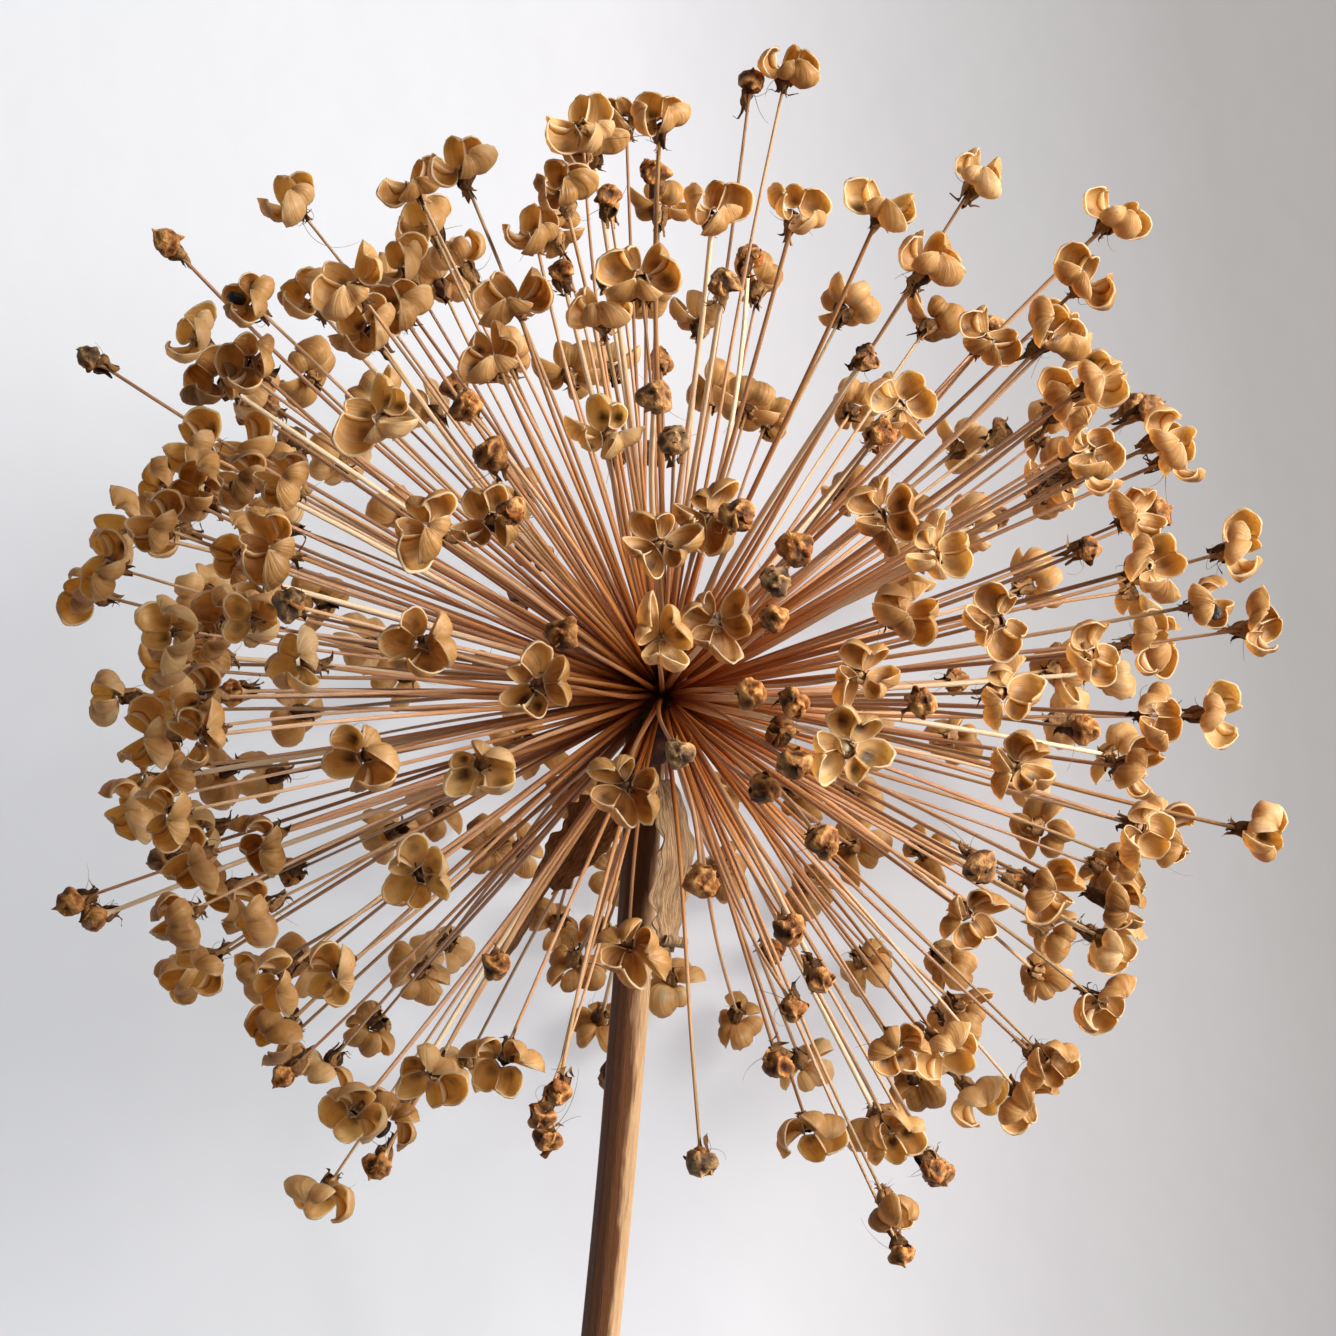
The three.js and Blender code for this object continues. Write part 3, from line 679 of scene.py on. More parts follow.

# ------------------------------
# The seed capsules: papery, golden and thin-walled. Each split into three valves as it dried,
# and each valve is two rounded half pods either side of a groove, with a thin partition behind
# it. The split edges are thickened and cream, lighter still as a painted highlight, and the bottom
# of each cup is darkened as painted shade. Some gape wide and others have barely opened.
POD_ROUND = 1.56
POD_TALL = 1.5
POD_OUT = 1.22
POD_TURN = math.radians(60)
POD_LIFT = 1.95
WALL = 0.07
EDGE_WALL = 0.13
EDGE_BEAD = 0.03
ALONG_POD = 18
POD_BASE = -0.97
SCAR_ALONG = 0.42
SCAR_ACROSS = 0.35
POD_TOPS = (0.76, 0.85, 0.89, 0.87, 0.78, 0.62, 0.44)
ACROSS_POD = np.array([0, 0.22, 0.45, 0.67, 0.85, 0.96, 1])
PARTITION = 0.035
HINGE_OUT = 0.25
HINGE_HIGH = -1.65
LEAST_OPEN = math.radians(16)
MOST_OPEN = math.radians(52)
VALVE_UNEVEN = math.radians(12)
VALVE_TWIST = 0.12
VALVE_ASKEW = 0.08
VALVE_SWELL = 0.12
POD_LOPSIDED = 0.2
POD_CREASE = 0.12
FINE_CREASE = 0.042
EDGE_WAVE = 0.1
CAPSULES_IN_A_PIECE = 40


def spun(across, over, angle):
    """Both parts of a place, turned by an angle."""
    return across * np.cos(angle) - over * np.sin(angle), across * np.sin(angle) + over * np.cos(angle)


def apart(shapes, step):
    """Copies of a shape moved away from each other, so that each gets wrinkles of its own."""
    return shapes + np.arange(len(shapes))[:, None, None] * step


def tube_faces(rings, sides):
    """Faces of a skin through rings of points, with a lid on either end."""
    lid = np.arange(sides)[None]
    return [skin_faces(rings, sides), lid[:, ::-1], lid + (rings - 1) * sides]


def pod_edges(along):
    """Where a half pod meets its groove and its split edge, as directions from its middle."""
    away = POD_OUT * math.sin(POD_TURN)
    groove_round = math.sqrt(POD_ROUND**2 - away**2)
    groove = along * math.acos(-POD_OUT * math.cos(POD_TURN) / groove_round)
    split = along * math.acos(-POD_OUT / POD_ROUND)
    first = joined(groove_round * np.cos(groove), -away, groove_round * np.sin(groove)) / POD_ROUND
    level = np.cos(split)
    return first, joined(level * math.cos(POD_TURN), level * math.sin(POD_TURN), np.sin(split))


def valve_shape():
    """One shut valve: points, faces, looks (edge with painted highlight, inside, tone, scar with painted
    shade at the cup's bottom) and grain of its thin shell.
    The tops of the half pods are rounded off, from the groove out to the split edge."""
    part = np.linspace(0, 1, ALONG_POD)[:, None]
    first, second = pod_edges(POD_BASE + (np.array(POD_TOPS) - POD_BASE) * part)
    angle = np.arccos(np.clip((first * second).sum(-1), -1, 1))[..., None]
    share = ACROSS_POD[:, None]
    ways = (np.sin((1 - share) * angle) * first + np.sin(share * angle) * second) / np.sin(angle)
    near_split = np.clip((ACROSS_POD - 0.85) / 0.15, 0, 1)
    near_top = np.clip((part - 0.88) / 0.12, 0, 1)
    near_edge = np.maximum(near_split, near_top)[..., None] ** 2
    middle = np.array([POD_OUT * math.cos(POD_TURN), POD_OUT * math.sin(POD_TURN), 0])
    sizes = np.array([POD_ROUND, POD_ROUND, POD_TALL])
    outside = middle + ways * (sizes + EDGE_BEAD * near_edge)
    inside = middle + ways * (sizes - WALL - (EDGE_WALL - WALL) * near_edge)
    inside[:, 0, 1] = 0
    outside, inside = (
        np.concatenate([wall[:, :0:-1] * (1, -1, 1), wall], axis=1) for wall in (outside, inside)
    )
    columns = outside.shape[1]
    skin = np.concatenate([outside, inside[:, ::-1]], axis=1)
    edge = there_and_back(np.concatenate([ACROSS_POD[:0:-1], ACROSS_POD]))
    looks = np.zeros((ALONG_POD, 2 * columns, 4))
    # Edge: the cream split edges, partly the husk's own colour and partly a painted highlight.
    looks[..., 0] = np.maximum(np.clip((edge - 0.95) / 0.05, 0, 1), part == 1)
    looks[:, columns:, 1] = 1
    looks[..., 2] = 0.22 * edge**2
    scar = np.exp(-(((part - SCAR_ALONG) / 0.12) ** 2) - ((edge - SCAR_ACROSS) / 0.3) ** 2)
    # Scar: where a seed was fixed, plus painted shade over the bottom quarter of the cup.
    looks[..., 3] = np.maximum(scar, 0.8 * np.clip(1 - part / 0.25, 0, 1))
    sideways = there_and_back(np.concatenate([-ACROSS_POD[:0:-1], ACROSS_POD]))
    grain = joined(sideways, 2 * part, 0.0)
    return skin.reshape(-1, 3), sheet_faces(ALONG_POD, columns), looks.reshape(-1, 4), grain.reshape(-1, 3)


def partition_shape():
    """The thin sheet behind a valve's groove, from the wall in to the capsule's middle."""
    part = np.linspace(0, 1, ALONG_POD)
    along = POD_BASE + 0.02 + (POD_TOPS[0] - 0.02 - POD_BASE) * part
    first, _ = pod_edges(along)
    wall = POD_OUT * math.cos(POD_TURN) + first[:, 0] * POD_ROUND - 0.05
    inner = np.minimum(0.12 + 0.75 * (1 - along**2), wall)
    height = first[:, 2:] * POD_TALL
    out = np.stack([wall, inner, inner, wall], -1)
    skin = joined(out, PARTITION * np.array([1, 1, -1, -1]), height)
    # Cream inner edges, partly a painted highlight; painted shade darkens the partition's foot.
    looks = joined([0, 1, 1, 0], 1.0, 0.0, 0.6 * np.clip(1 - part / 0.2, 0, 1)[:, None])
    grain = joined([0.0, 0.4, 0.4, 0.0], height, 1.0)
    return skin.reshape(-1, 3), tube_faces(ALONG_POD, 4), looks.reshape(-1, 4), grain.reshape(-1, 3)


def capsule_finish():
    """Thin golden husk: mottled and finely veined, cream at its split edges, partly as a painted
    highlight, browner inside, and almost black where a seed was fixed and, as painted shade, at
    the bottom of each cup."""
    material, tree = new_finish("capsule_husk")
    edge, inside, tone, scar = looks_of(tree)
    place = place_of(tree)
    mottle = noise(tree, place, 420.0, 4.0)
    veins = fibres(tree, (7.0, 0.9, 1.0))
    uneven = scaled(tree, veins, 0.6, scaled(tree, mottle, 0.9, -0.75))
    level = scaled(tree, tone, 1.0, uneven)
    husk = graded(
        tree, level, (0.0, 172, 122, 64), (0.25, 212, 167, 100), (0.55, 231, 194, 133),
        (0.95, 243, 223, 182),
    )
    inner = graded(tree, level, (0.0, 182, 130, 72), (0.45, 230, 190, 128), (0.95, 243, 219, 168))
    husk = mixed(tree, inside, husk, inner)
    # Near black where a seed was fixed, and painted shade at the bottom of each cup, on the inside only.
    scars_and_cup_shade = scaled(tree, mottle, 0.5, scaled(tree, scar, 1.0, -0.25))
    deep = scaled(tree, spread(tree, scars_and_cup_shade, 0.26, 0.78, 0.0, 0.9), inside)
    husk = mixed(tree, deep, husk, colour(58, 22, 5))
    spots = spread(tree, noise(tree, place, 1300.0, 2.0), 0.66, 0.76, 0.0, 0.35)
    husk = mixed(tree, spots, husk, colour(150, 90, 36))
    # Cream split edges, partly a painted highlight.
    husk = mixed(tree, edge, husk, colour(255, 238, 206))
    finished(tree, husk, 0.34, scaled(tree, mottle, 0.5, veins), 0.00014, through=0.62, shine=0.4)
    return material


capsules = [floret for floret in florets if floret["kind"] == "capsule"]
count = len(capsules)
uneven = default_rng(41).uniform
shell, shell_faces, shell_looks, shell_grain = valve_shape()
sheet, faces, looks, grain = partition_shape()
valve = np.concatenate([shell, sheet])
valve_faces = shell_faces + [face + len(shell) for face in faces]
valve_looks = np.concatenate([shell_looks, looks])
valve_grain = np.concatenate([shell_grain, grain])
opened = LEAST_OPEN + (MOST_OPEN - LEAST_OPEN) * each(capsules, "open")
opened = opened[:, None] + uneven(-VALVE_UNEVEN, VALVE_UNEVEN, (count, 3))
twisted = uneven(-VALVE_TWIST, VALVE_TWIST, (count, 3))
swollen = uneven(1 - VALVE_SWELL, 1 + VALVE_SWELL, (count, 3, 1, 3))
lopsided = uneven(-POD_LOPSIDED, POD_LOPSIDED, (count, 3, 1, 1))
one_side = np.sign(valve[:, 1:2]) * np.abs(valve[:, 1:2]) ** 0.5
points = valve * swollen * (1 + lopsided * one_side)
across, over, high = points[..., 0] - HINGE_OUT, points[..., 1], points[..., 2] - HINGE_HIGH
across, over = spun(across, over, twisted[..., None])
high, across = spun(high, across, opened[..., None])
azimuth = np.radians([0, 120, 240])[:, None] + uneven(-VALVE_ASKEW, VALVE_ASKEW, (count, 3, 1))
points = joined(*spun(across + HINGE_OUT, over, azimuth), high + HINGE_HIGH + POD_LIFT)
points = points.reshape(count, -1, 3) * each(capsules, "size")[:, None, None]
own_place = apart(points, 17.3)
crease = POD_CREASE * wrinkle(own_place, 2.6, 43) + FINE_CREASE * wrinkle(own_place, 0.9, 44)
crease += EDGE_WAVE * np.tile(valve_looks[:, 0], 3) * wrinkle(own_place, 1.6, 45)
points = points + unit(points * (1, 1, 0.5)) * crease[..., None]
lifted(capsules, points)
points = standing(capsules, points)
looks = np.tile(valve_looks, (count, 3, 1))
looks[..., 2] += uneven(0.15, 0.7, (count, 1))
looks[..., 2] += np.repeat(uneven(-0.1, 0.1, (count, 3)), len(valve), axis=1)
looks[..., 3] *= np.repeat(uneven(0.3, 1.0, (count, 3)), len(valve), axis=1)
grain = np.tile(valve_grain, (count, 3, 1))
grain[..., 2] += np.repeat(np.arange(count * 3).reshape(count, 3) * 3.1, len(valve), axis=1)
finish = capsule_finish()
for number, start in enumerate(range(0, count, CAPSULES_IN_A_PIECE), 1):
    some = slice(start, start + CAPSULES_IN_A_PIECE)
    name, copies = f"capsules_{number}", 3 * len(points[some])
    grown(name, points[some], valve_faces, copies, finish, "dry_capsule", "umbel", looks[some], grain[some])

# ------------------------------
# A few seeds that never fell out: black, angular and wrinkled, each held in a half-open pod.
# They are hard, and sit loose between a pod's wall and the partition behind its groove.
SEED_PLACES = [(-27.7, -43.5), (-42.7, 22.5)]
LOOSE_SEEDS = 5
SEED_HALF = np.array([0.62, 0.5, 1.0])
SEED_ROWS = 14
SEED_COLUMNS = 18
SEED_OUT = 1.05
SEED_HIGH = 1.75
SEED_LEAN = 0.35


def seed_finish():
    """Matt black seed coat with a fine wrinkled relief."""
    material, tree = new_finish("seed_coat")
    rough = noise(tree, place_of(tree), 2600.0, 4.0)
    finished(tree, graded(tree, rough, (0.3, 14, 12, 13), (0.75, 46, 40, 38)), 0.55, rough, 0.0002)
    return material


def seen_from_front(florets):
    """How far right and up of the receptacle the viewer sees each floret, and how near it is."""
    middles = each(florets, "middle")
    near = middles @ towards_viewer
    grow = VIEW_DISTANCE / (VIEW_DISTANCE - near)
    return joined(middles @ to_right * grow, middles @ up_in_view * grow, near)


def nearest_to(places, florets, behind=0):
    """The floret closest to each place that the viewer sees; behind is added for the far side."""
    seen = seen_from_front(florets)
    worse = behind * (seen[:, 2] < 0)
    return [int(np.argmin(np.hypot(*(seen[:, :2] - place).T) + worse)) for place in places]


loose = default_rng(51).choice(count, LOOSE_SEEDS, replace=False)
holders = sorted({*nearest_to(SEED_PLACES, capsules, behind=100), *loose.tolist()})
rise = 0.98 * math.pi * np.linspace(-0.5, 0.5, SEED_ROWS)[:, None]
around = turns(SEED_COLUMNS)
angular = np.sign(np.cos(around)) * np.abs(np.cos(around)) ** 0.7
seed = joined(np.cos(rise) * angular, np.cos(rise) * np.sin(around), np.sin(rise)) * SEED_HALF
seeds = []
for copy in range(len(holders)):
    body = seed * (1 + 0.12 * wrinkle(seed + copy * 5.0, 0.9, 52)[..., None])
    high, out = spun(body[..., 2], body[..., 0], SEED_LEAN * (copy % 4))
    turn = math.radians(60 + 120 * (copy % 3))
    seeds.append(joined(*spun(out + SEED_OUT, body[..., 1], turn), high + SEED_HIGH).reshape(-1, 3))
seeds = standing([capsules[holder] for holder in holders], np.stack(seeds))
faces = tube_faces(SEED_ROWS, SEED_COLUMNS)
grown("black_seeds", seeds, faces, len(holders), seed_finish(), "dry_capsule", "umbel")

# ------------------------------
# The withered buds: flowers that set no seed and shrank to hard, wrinkled, three-cornered knobs,
# red-brown where the skin is smooth, with painted shade almost black in the folds, a painted
# highlight on the ridges, and a short dry beak.
BUD_RADIUS = 1.4
BUD_HEIGHT = 2.9
BUD_OUTLINE = (
    (0.3, 0.0), (0.75, 0.1), (1.0, 0.36), (0.96, 0.6), (0.72, 0.82), (0.4, 0.93), (0.16, 1.0), (0.02, 1.14),
)
BUD_RINGS = 20
BUD_SIDES = 30
BUD_LOBE = 0.13
BUD_FOLD = 0.216
GREYNESS_SHARES = {0.0: 0.4, 0.15: 0.25, 0.5: 0.2, 0.95: 0.15}


def bud_finish():
    """Hard shrunken skin, mottled orange-brown to grey-brown, with painted shade near black in its folds
    and a painted highlight on its ridges.
    """
    material, tree = new_finish("bud_skin")
    crease_shade, ridge_highlight, tone, _ = looks_of(tree)
    mottle = noise(tree, place_of(tree), 1100.0, 4.0)
    fine = noise(tree, place_of(tree), 3200.0)
    red = graded(tree, mottle, (0.3, 98, 46, 12), (0.5, 158, 96, 42), (0.7, 210, 156, 92))
    grey = graded(tree, mottle, (0.3, 74, 52, 32), (0.7, 162, 128, 88))
    skin = mixed(tree, tone, red, grey)
    # Painted highlight on the ridges, then painted shade in the folds.
    skin = mixed(tree, ridge_highlight, skin, colour(216, 162, 100))
    skin = mixed(tree, crease_shade, skin, colour(38, 16, 5))
    finished(tree, skin, 0.6, scaled(tree, fine, 0.5, mottle), 0.0003, shine=0.2)
    return material


buds = [floret for floret in florets if floret["kind"] == "bud"]
outline = smooth_path(BUD_OUTLINE, np.linspace(0, 1, BUD_RINGS)) * (BUD_RADIUS, BUD_HEIGHT)
out, high = outline[:, :1], outline[:, 1:]
around = turns(BUD_SIDES)
lobed = out * (1 + BUD_LOBE * np.cos(3 * (around + 0.25 * high)))
knob = joined(lobed * np.cos(around), lobed * np.sin(around), high).reshape(-1, 3)
tall = default_rng(60).uniform(0.7, 1.0, (len(buds), 1, 1))
wide = 1.65 - 0.8 * tall
knob = knob * each(buds, "size")[:, None, None] * np.concatenate([wide, wide, 0.9 * tall], -1)
own_place = apart(knob, 13.1)
folds = 0.9 - 1.3 * np.abs(wrinkle(own_place, 3.0, 61)) - 0.9 * np.abs(wrinkle(own_place, 1.5, 62))
knob = knob + unit(knob * (1, 1, 0.6) - (0, 0, 0.9)) * (BUD_FOLD * folds)[..., None]
lifted(buds, knob)
greyness, shares = zip(*GREYNESS_SHARES.items())
greyness = default_rng(63).choice(greyness, (len(buds), 1), p=shares)
# Looks: painted shade in the folds, painted highlight on the ridges, greyness.
looks = joined(np.clip(-0.8 * folds, 0, 0.9), np.clip(1.4 * folds - 0.3, 0, 0.8), greyness, 0.0)
faces = tube_faces(BUD_RINGS, BUD_SIDES)
grown("withered_buds", standing(buds, knob), faces, len(buds), bud_finish(), "dry_capsule", "umbel", looks)

# ------------------------------
# The flower stalks: stiff and thin, red-brown at their roots in the receptacle and pale or
# pinkish tan further out, a few bleached to straw, with fine lengthwise ribs. Each bows a
# little on its way and swells into the small cup that its floret sits in.
STALK_ROOT = 2.0
STALK_ROOT_RADIUS = 0.32
STALK_RADIUS = 0.25
STALK_TIP_RADIUS = 0.18
CUP_RADIUS = {"capsule": 0.9, "bud": 0.62}
CUP_TALL = 1.3
CUP_CENTRE_HIGH = 0.35
CUP_CENTRE_RADIUS = 0.05
STALK_SIDES = 8
STALK_RINGS = 18
CUP_RINGS = 6
STALK_BOW = 0.5
STALK_SWAY = 0.175
BLEACHED_SHARE = 0.09
BLEACHED_STOUT = 1.35


def stalk_finish():
    """Dry stalk skin: ribbed, red-brown at the root, pale pinkish or olive tan further out, and
    bleached to straw on a few stalks."""
    material, tree = new_finish("stalk_skin")
    along, tone, green, straw = looks_of(tree)
    fine = fibres(tree, (3.2, 3.2, 0.35))
    patches = fibres(tree, (0.5, 0.5, 0.1), 2.0)
    place = scaled(tree, along, 1.0, scaled(tree, patches, 0.5, -0.25))
    pink = graded(
        tree, place, (0.0, 98, 34, 3), (0.09, 178, 86, 24), (0.3, 228, 154, 80), (0.7, 248, 206, 166),
        (1.0, 218, 174, 124),
    )
    olive = graded(
        tree, place, (0.0, 96, 36, 8), (0.12, 164, 88, 34), (0.5, 214, 158, 98), (1.0, 168, 138, 90),
    )
    skin = mixed(tree, green, pink, olive)
    dark = spread(tree, scaled(tree, fine, 1.0, tone), 0.8, 1.35, 0.0, 0.6)
    skin = mixed(tree, dark, skin, colour(160, 84, 32))
    skin = mixed(tree, straw, skin, colour(252, 228, 190))
    finished(tree, skin, 0.3, fine, 0.0001, through=0.2, shine=0.55)
    return material


def square_to(ways):
    """For ways of length one, two more square to each and to each other."""
    aside = unit(np.cross(ways, np.where(np.abs(ways[..., 2:]) < 0.9, (0, 0, 1), (1, 0, 0))))
    return aside, np.cross(ways, aside)


def tubes(lines, ways, radius, sides):
    """Rings of points round lines, each ring square to its way."""
    aside, beyond = square_to(ways)
    around = turns(sides)[:, None]
    rim = aside[:, :, None] * np.cos(around) + beyond[:, :, None] * np.sin(around)
    return lines[:, :, None] + rim * radius[..., None, None]


total = len(florets)
bases = each(florets, "base")
ways = unit(bases)[:, None]
part = np.concatenate([np.linspace(0, 0.955, STALK_RINGS), np.linspace(0.965, 1, CUP_RINGS)])
pick = default_rng(71)
bow = pick.normal(0, STALK_BOW, (total, 1, 2)) * (4 * part * (1 - part))[:, None]
bend = bow + pick.normal(0, STALK_SWAY, (total, 1, 2)) * np.sin(2 * math.pi * part)[:, None]
aside, beyond = square_to(ways)
lines = ways * STALK_ROOT + (bases[:, None] - ways * STALK_ROOT) * part[:, None]
lines = lines + aside * bend[..., :1] + beyond * bend[..., 1:]
lines = np.concatenate([lines, bases[:, None] + ways * CUP_CENTRE_HIGH], axis=1)
stalk_long = np.linalg.norm(bases, axis=1)[:, None] - STALK_ROOT
cup = np.clip(1 - (1 - part) * stalk_long / CUP_TALL, 0, 1) ** 2
cup_radius = np.array([CUP_RADIUS[floret["kind"]] for floret in florets])[:, None]
stout = pick.uniform(0.78, 1.18, (total, 1))
bleached = default_rng(72).uniform(size=(total, 1)) < BLEACHED_SHARE
stout = np.where(bleached, BLEACHED_STOUT, stout)
radius = STALK_RADIUS + (STALK_ROOT_RADIUS - STALK_RADIUS) * (1 - part) ** 4
radius = (radius + (STALK_TIP_RADIUS - STALK_RADIUS) * part) * stout + (cup_radius - STALK_TIP_RADIUS) * cup
radius = np.append(radius, np.full((total, 1), CUP_CENTRE_RADIUS), axis=1)
stalks = tubes(lines, ways, radius, STALK_SIDES)
along = np.append(part, 1)[:, None]
tone = pick.uniform(0.1, 0.95, (total, 1, 1))
green = np.clip(pick.normal(0.35, 0.35, (total, 1, 1)), 0, 1)
straw = bleached[..., None] * np.clip(1.8 * along - 0.35, 0, 0.85)
around = turns(STALK_SIDES)
looks = joined(along + 0 * around, tone, green, straw)
grain = joined(np.cos(around) + np.arange(total)[:, None, None] * 3.7, np.sin(around), along * 50)
faces = tube_faces(stalks.shape[1], STALK_SIDES)
grown("flower_stalks", stalks, faces, total, stalk_finish(), "dry_stem", "umbel", looks, grain)

# ------------------------------
# The withered petals: six to a flower, shrunk to dark, crumpled ribbons. Under a capsule they
# fold back down round the stalk in a ragged funnel; round a bud some still cling upwards.
PETALS = 6
PETAL_ROWS = 11
PETAL_COLUMNS = 4
PETAL_THICK = 0.05
PETAL_HALF_WIDTHS = (0.36, 0.46, 0.42, 0.3, 0.18, 0.04)
PETAL_CUP = 0.12
PETAL_CRUMPLE = 0.22
CLINGING_SHARE = 0.4
FLORETS_IN_A_PIECE = 160


def petal_finish():
    """Withered petal: thin, dull, dark grey-brown with paler worn threads."""
    material, tree = new_finish("withered_petal")
    _, warm, tone, _ = looks_of(tree)
    threads = noise(tree, place_of(tree), 2600.0, 4.0)
    level = scaled(tree, threads, 0.6, scaled(tree, tone, 0.7, -0.2))
    ribbon = graded(
        tree, level, (0.1, 62, 36, 16), (0.4, 112, 76, 42), (0.7, 158, 116, 72), (1.0, 206, 164, 112),
    )
    orange = graded(tree, level, (0.1, 98, 46, 12), (0.5, 176, 104, 44), (1.0, 232, 176, 104))
    ribbon = mixed(tree, warm, ribbon, orange)
    finished(tree, ribbon, 0.75, threads, 0.0002, through=0.12, shine=0.2)
    return material


pick = default_rng(81)
each_petal = (total, PETALS)
is_bud = np.array([floret["kind"] == "bud" for floret in florets])[:, None]
hang = pick.uniform(1.5, 3.4, (total, 1)) * pick.uniform(0.75, 1.15, each_petal)
curl = np.clip(pick.normal(0.35, 0.5, each_petal), 0, 1.8)
rise = pick.uniform(1.3, 2.3, each_petal)
down_out = [0.5, 0.95, 0.78, 0.55, 0.46 + 0.4 * curl, 0.5 + curl]
down_high = [0.3, -0.05, -0.35 * hang, -0.6 * hang, -0.85 * hang, -hang * (1 - 0.2 * curl)]
up_out = [0.45, 1.05, 1.42, 1.3, 1.0, 0.6 + 0.7 * curl]
up_high = [-0.1, 0.2, 0.35 * rise, 0.6 * rise, 0.85 * rise, rise]
clings = is_bud & (pick.uniform(size=each_petal) < CLINGING_SHARE)
rows = np.linspace(0, 1, PETAL_ROWS)
down = joined(joined(*down_out), joined(*down_high))
up = joined(joined(*up_out), joined(*up_high))
path = smooth_path(np.moveaxis(np.where(clings[..., None, None], up, down), 2, 0), rows)
half = smooth_path(np.array(PETAL_HALF_WIDTHS)[:, None], rows)[:, 0]
turn = np.radians(60 * np.arange(PETALS)) + pick.uniform(-0.3, 0.3, each_petal)
turn = turn + pick.normal(0, 0.35, each_petal) * rows[:, None, None] ** 2
over = there_and_back(np.linspace(-1, 1, PETAL_COLUMNS))
thick = np.repeat([PETAL_THICK / 2, -PETAL_THICK / 2], PETAL_COLUMNS)
outward = path[..., :1] + thick - PETAL_CUP * over**2
petals = joined(*spun(outward, half[:, None, None, None] * over, turn[..., None]), path[..., 1:])
petals = petals.transpose(1, 2, 0, 3, 4).reshape(total, -1, 3)
own_place = apart(petals, 11.7)
crumple = joined(*(wrinkle(own_place, 1.5, seed) for seed in (82, 83, 84)))
petals = standing(florets, petals + PETAL_CRUMPLE * crumple)
warm = (clings * pick.uniform(0.5, 1, each_petal))[..., None]
tone = pick.uniform(0, 1, each_petal)[..., None]
looks = joined(0.0, warm, tone, np.zeros(2 * PETAL_COLUMNS * PETAL_ROWS))
faces = [face[:, ::-1] for face in sheet_faces(PETAL_ROWS, PETAL_COLUMNS)]
finish = petal_finish()
for number, start in enumerate(range(0, total, FLORETS_IN_A_PIECE), 1):
    some = slice(start, start + FLORETS_IN_A_PIECE)
    name, copies = f"withered_petals_{number}", PETALS * len(petals[some])
    grown(name, petals[some], faces, copies, finish, "dry_capsule", "umbel", looks[some])

# ------------------------------
# The stamens' threads: hair-thin, dry and curled, still hanging from under the florets, with a
# few long wisps that stand out against the background.
THREADS_EACH = 2
THREAD_RADIUS = 0.04
THREAD_STEPS = 10
THREAD_LENGTHS = (1.5, 3.8)
THREAD_OUT = 0.6
WISP_PLACES = [
    (-33.7, 48), (-26.2, 48.2), (-8.2, 61.7), (44.8, 36.5), (51.8, 24.7), (62.8, 13.5), (-27.2, -50.5),
    (-37.8, -45.5), (-11.4, -48), (28.3, -58.5), (34.8, -14.5), (5.3, 57), (-53, -1.5), (52.8, -14.5),
]
WISP_LENGTHS = (5.5, 8.5)


def thread_finish():
    """Dry hair-thin thread, tan to grey-brown."""
    material, tree = new_finish("stamen_thread")
    _, _, tone, _ = looks_of(tree)
    uneven = noise(tree, place_of(tree), 800.0, 2.0)
    level = scaled(tree, uneven, 0.4, scaled(tree, tone, 0.7))
    thread = graded(tree, level, (0.1, 78, 56, 36), (0.6, 150, 120, 84), (1.0, 206, 176, 134))
    finished(tree, thread, 0.6, uneven, 0.0001)
    return material


pick = default_rng(91)
wispy = nearest_to(WISP_PLACES, florets)
owners = np.concatenate([np.repeat(np.arange(total), THREADS_EACH), wispy])
lengths = [pick.uniform(*THREAD_LENGTHS, total * THREADS_EACH), pick.uniform(*WISP_LENGTHS, len(wispy))]
stride = np.concatenate(lengths)[:, None] / THREAD_STEPS
count = len(owners)
turn = pick.uniform(0, 2 * math.pi, count)
path = [joined(THREAD_OUT * np.cos(turn), THREAD_OUT * np.sin(turn), pick.uniform(-0.8, 0.0, count))]
heading = unit(joined(np.cos(turn), np.sin(turn), pick.uniform(-1.8, 0.1, count)))
pivot = unit(np.cross(heading, pick.normal(size=(count, 3))))
bend = pick.uniform(0.05, 0.42, count)[:, None]
for _ in range(THREAD_STEPS):
    heading = heading * np.cos(bend) + np.cross(pivot, heading) * np.sin(bend)
    pivot = pivot + 0.25 * pick.normal(size=(count, 3))
    pivot = unit(pivot - heading * (pivot * heading).sum(1, keepdims=True))
    path.append(path[-1] + heading * stride)
path = standing([florets[owner] for owner in owners], np.stack(path, 1))
taper = THREAD_RADIUS * np.linspace(1, 0.4, THREAD_STEPS + 1)[None]
threads = tubes(path, unit(np.gradient(path, axis=1)), taper, 3)
looks = joined(0.0, 0.0, pick.uniform(0, 1, (count, 1)), np.zeros(threads[0, ..., 0].size))
faces = tube_faces(THREAD_STEPS + 1, 3)
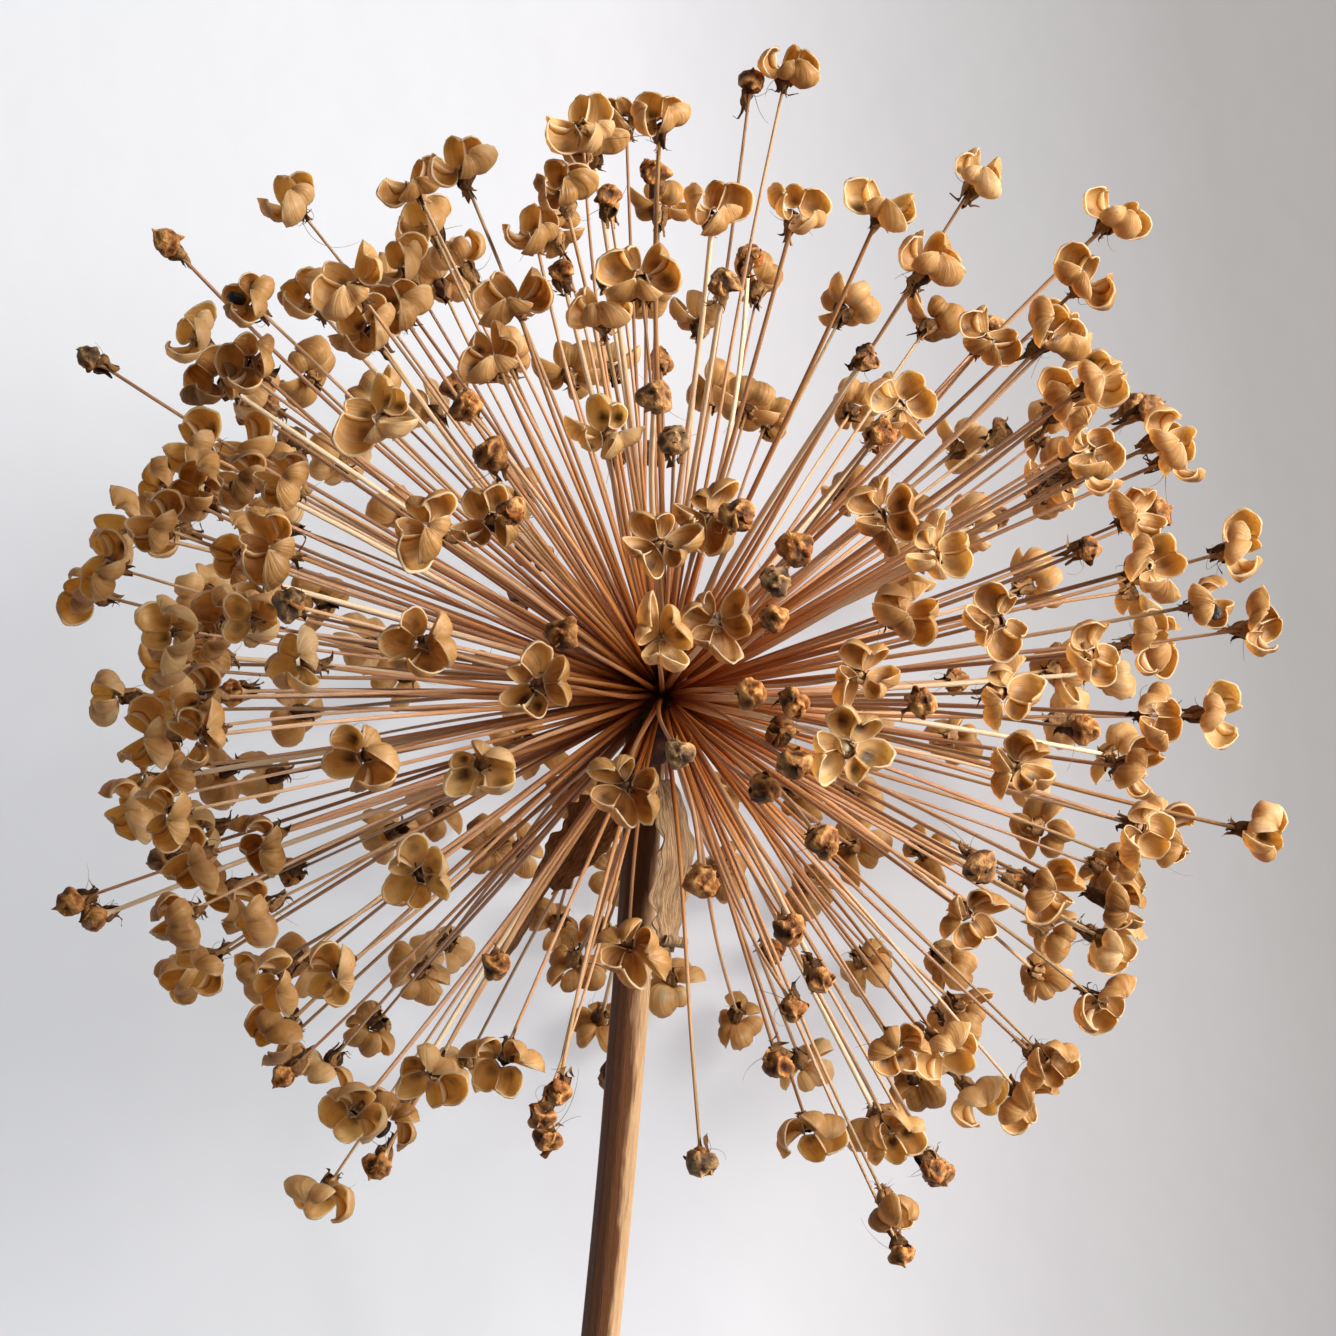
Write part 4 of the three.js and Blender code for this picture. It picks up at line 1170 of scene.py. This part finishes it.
grown("stamen_threads", threads, faces, count, thread_finish(), "dry_capsule", "umbel", looks)

# ------------------------------
# A plain pale floor with a slight glow of its own, greyer to the right as painted shade, and soft
# studio light: one close soft lamp to the right, and a weaker one between it and the viewer.
FLOOR_HALF = 3.0
FLOOR_GLOW = 1.6
WORLD_STRENGTH = 0.13

floor_mesh = bpy.data.meshes.new("floor")
corners = FLOOR_HALF * np.array([(-1, -1, 0), (1, -1, 0), (1, 1, 0), (-1, 1, 0)])
floor_mesh.from_pydata(corners, [], [(0, 1, 2, 3)])
floor = placed("floor", floor_mesh)
material, tree = new_finish("floor_paint")
place = place_of(tree)
# Painted shade: the floor's paint greys off to the right.
shade_slant = step(tree, "VectorMath", {0: place, 1: (1, 0.126, 0)}, "Value", operation="DOT_PRODUCT")
paint_with_shade = graded(
    tree, spread(tree, shade_slant, -0.03, 0.11), (0.0, 150, 151, 154), (0.25, 147, 147, 150),
    (0.5, 122, 121, 123), (0.75, 98, 97, 97), (1.0, 91, 89, 88),
)
finished(tree, paint_with_shade, 0.9, noise(tree, place, 30.0, 4.0), 0.0006, glow=FLOOR_GLOW)
floor_mesh.materials.append(material)

world = bpy.data.worlds.new("studio")
bpy.context.scene.world = world
world.use_nodes = True
background = world.node_tree.nodes["Background"]
background.inputs["Color"].default_value = colour(226, 230, 240)
background.inputs["Strength"].default_value = WORLD_STRENGTH


def soft_lamp(name, place, watts, wide, shade):
    """A soft square lamp at a place right of, towards and above the receptacle as the viewer
    sees it, in millimetres, facing the head."""
    lamp = bpy.data.lights.new(name, "AREA")
    lamp.energy = watts
    lamp.size = wide
    lamp.color = shade
    holder = placed(name, lamp)
    right, near, up = place
    spot = laid_down(to_right * right + towards_viewer * near + up_in_view * up)
    holder.rotation_mode = "QUATERNION"
    holder.rotation_quaternion = Vector(laid_down((0, 0, 0)) - spot).to_track_quat("-Z", "Y")
    holder.location = spot


soft_lamp("key", place=(560, 270, 215), watts=9.8, wide=0.38, shade=(1.0, 0.965, 0.92))
soft_lamp("fill", place=(420, 380, 180), watts=2.4, wide=0.5, shade=(1.0, 0.99, 0.97))
